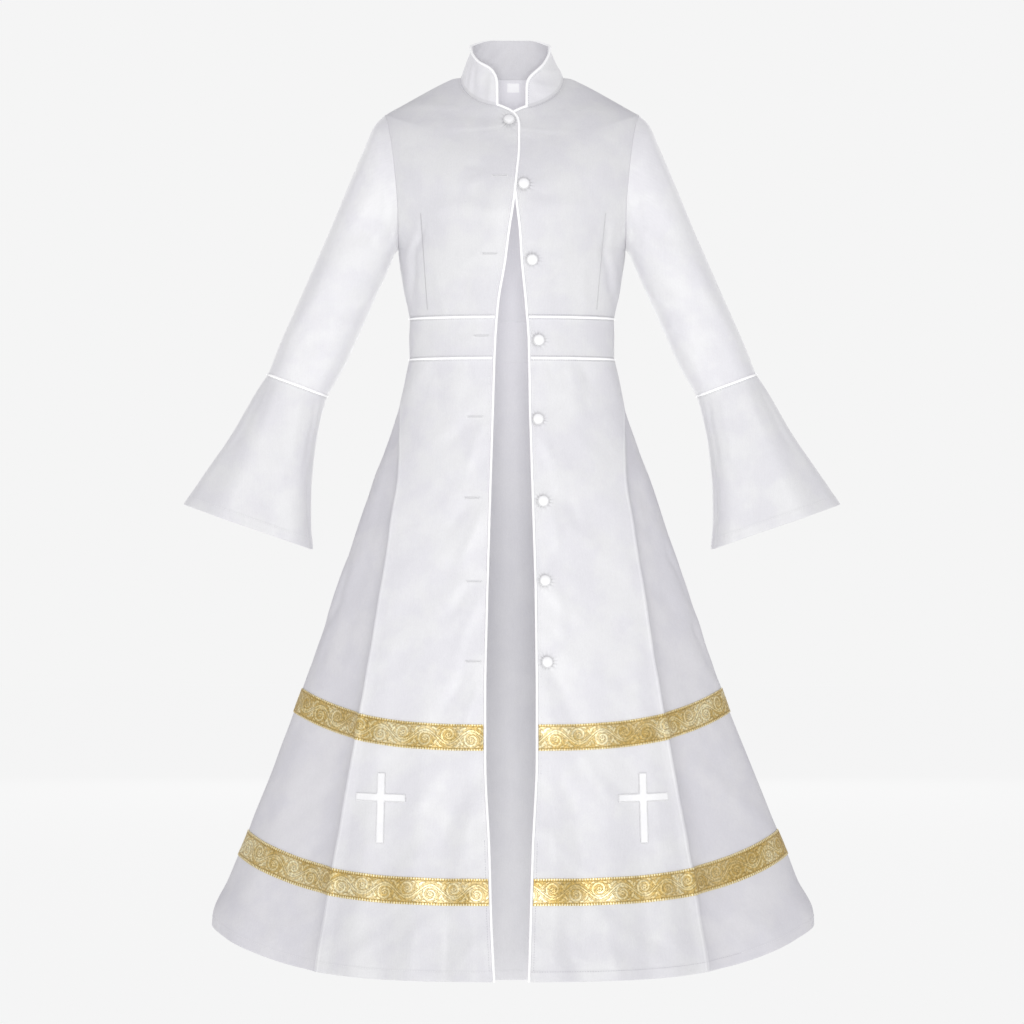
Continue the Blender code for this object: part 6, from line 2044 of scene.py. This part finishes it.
# Studio
CAMERA_BACK, CAMERA_HEIGHT = 7.0, -0.6597
LENS, SENSOR = 161.9, 36.0
FLOOR_Z, FLOOR_RADIUS = -1.45, 14.0
PAPER, PAPER_GLOW = 0.03, 0.894
SURROUNDINGS = ((0.995, 0.985, 1.02, 1.0), 0.58)
SEEN_BEHIND = ((1.0, 1.0, 1.0, 1.0), 0.913)


def stage_material(name, colour, glow):
    """Pale studio paper, with a little light of its own so that it stays even."""
    finish, n, shader, place = new_material(name)
    duller = tuple(part * 0.995 for part in colour)
    cloudy = n.noise(place["Object"], 3.0)
    n.feed(shader.inputs["Base Color"], n.mix(cloudy, (*colour, 1.0), (*duller, 1.0)))
    shader.inputs["Roughness"].default_value = 0.9
    shader.inputs["Specular IOR Level"].default_value = 0.0
    shader.inputs["Emission Color"].default_value = (1.0, 1.0, 1.0, 1.0)
    shader.inputs["Emission Strength"].default_value = glow
    return finish


def add_stage():
    """A pale floor, wide enough to meet the even background."""
    bm = bmesh.new()
    bmesh.ops.create_circle(bm, cap_ends=True, segments=96, radius=FLOOR_RADIUS)
    bmesh.ops.translate(bm, vec=(0.0, 0.0, FLOOR_Z), verts=bm.verts)
    mesh = bpy.data.meshes.new("studio_floor")
    bm.to_mesh(mesh)
    bm.free()
    mesh.materials.append(stage_material("studio paper", grey(PAPER), PAPER_GLOW))
    floor = bpy.data.objects.new("studio_floor", mesh)
    bpy.context.scene.collection.objects.link(floor)


def add_light(name, place, aim, width, height, power, spread=180.0):
    """A large soft light."""
    lamp = bpy.data.lights.new(name, "AREA")
    lamp.shape = "RECTANGLE"
    lamp.size, lamp.size_y = width, height
    lamp.spread = math.radians(spread)
    lamp.energy = power
    light = bpy.data.objects.new(name, lamp)
    light.location = place
    light.rotation_mode = "QUATERNION"
    light.rotation_quaternion = (Vector(aim) - Vector(place)).to_track_quat("-Z", "Y")
    bpy.context.scene.collection.objects.link(light)


def add_studio():
    """The camera, the lights, the even surroundings and how the picture is developed."""
    scene = bpy.context.scene
    camera_data = bpy.data.cameras.new("camera")
    camera_data.sensor_width = SENSOR
    camera_data.lens = LENS
    camera_data.clip_end = 100.0
    camera = bpy.data.objects.new("camera", camera_data)
    camera.location = (0.0, -CAMERA_BACK, CAMERA_HEIGHT)
    camera.rotation_euler = (math.pi / 2, 0.0, 0.0)
    scene.collection.objects.link(camera)
    scene.camera = camera
    add_light("front_light", (0.0, -7.8, -1.0), (0.0, 0.0, -0.50), 1.5, 1.3, 69.0, 100.0)
    add_light("back_light", (0.0, 6.5, 0.2), (0.0, 0.0, -0.75), 3.0, 2.5, 90.0)
    world = bpy.data.worlds.new("studio")
    world.use_nodes = True
    n = Nodes(world.node_tree)
    lit = world.node_tree.nodes["Background"]
    lit.inputs["Color"].default_value, lit.inputs["Strength"].default_value = SURROUNDINGS
    seen = n.out("ShaderNodeBackground", dict(zip(("Color", "Strength"), SEEN_BEHIND)))
    by_camera = n.add("ShaderNodeLightPath").outputs["Is Camera Ray"]
    both = n.out("ShaderNodeMixShader", {0: by_camera, 1: lit.outputs[0], 2: seen})
    n.feed(world.node_tree.nodes["World Output"].inputs["Surface"], both)
    scene.world = world
    scene.view_settings.view_transform = "Standard"
    scene.view_settings.look = "None"


add_stage()
add_studio()

# Sheets and sizes
flat_sizes["cross_right"] = flat_sizes["cross_left"] = (
    CROSS_BAR, CROSS_HEIGHT + CROSS_WIDTH - CROSS_BAR, CROSS_BAR
    * (CROSS_HEIGHT + CROSS_WIDTH - CROSS_BAR))
flat_sizes["neck_label"] = (LABEL_WIDTH, LABEL_HEIGHT, LABEL_WIDTH * LABEL_HEIGHT)
# Each sheet of cloth, how it is held and what it is sewn to
SEWN_TO = {
    "draped": {"collar": "bodice_back", "bodice_back": "bodice_front_right",
               "bodice_front_right": "bodice_back", "bodice_front_left": "bodice_back",
               "waistband_back": "bodice_back", "waistband_front_right": "bodice_front_right",
               "waistband_front_left": "bodice_front_left"},
    "hung": {"skirt_back": "waistband_back", "skirt_front_right": "waistband_front_right",
             "skirt_front_left": "waistband_front_left", "sleeve_right": "bodice_front_right",
             "sleeve_left": "bodice_front_left", "cuff_right": "sleeve_right",
             "cuff_left": "sleeve_left"},
    "laid": {"band_upper": "skirt_back", "band_lower": "skirt_back",
             "cross_right": "skirt_front_right", "cross_left": "skirt_front_left",
             "neck_label": "bodice_back"},
}
for held, sheets in SEWN_TO.items():
    for name, under in sheets.items():
        width, length, area = flat_sizes[name]
        width, length = math.ceil(width * 1000) / 1000, math.ceil(length * 1000) / 1000
        round(min(area, width * length), 5)
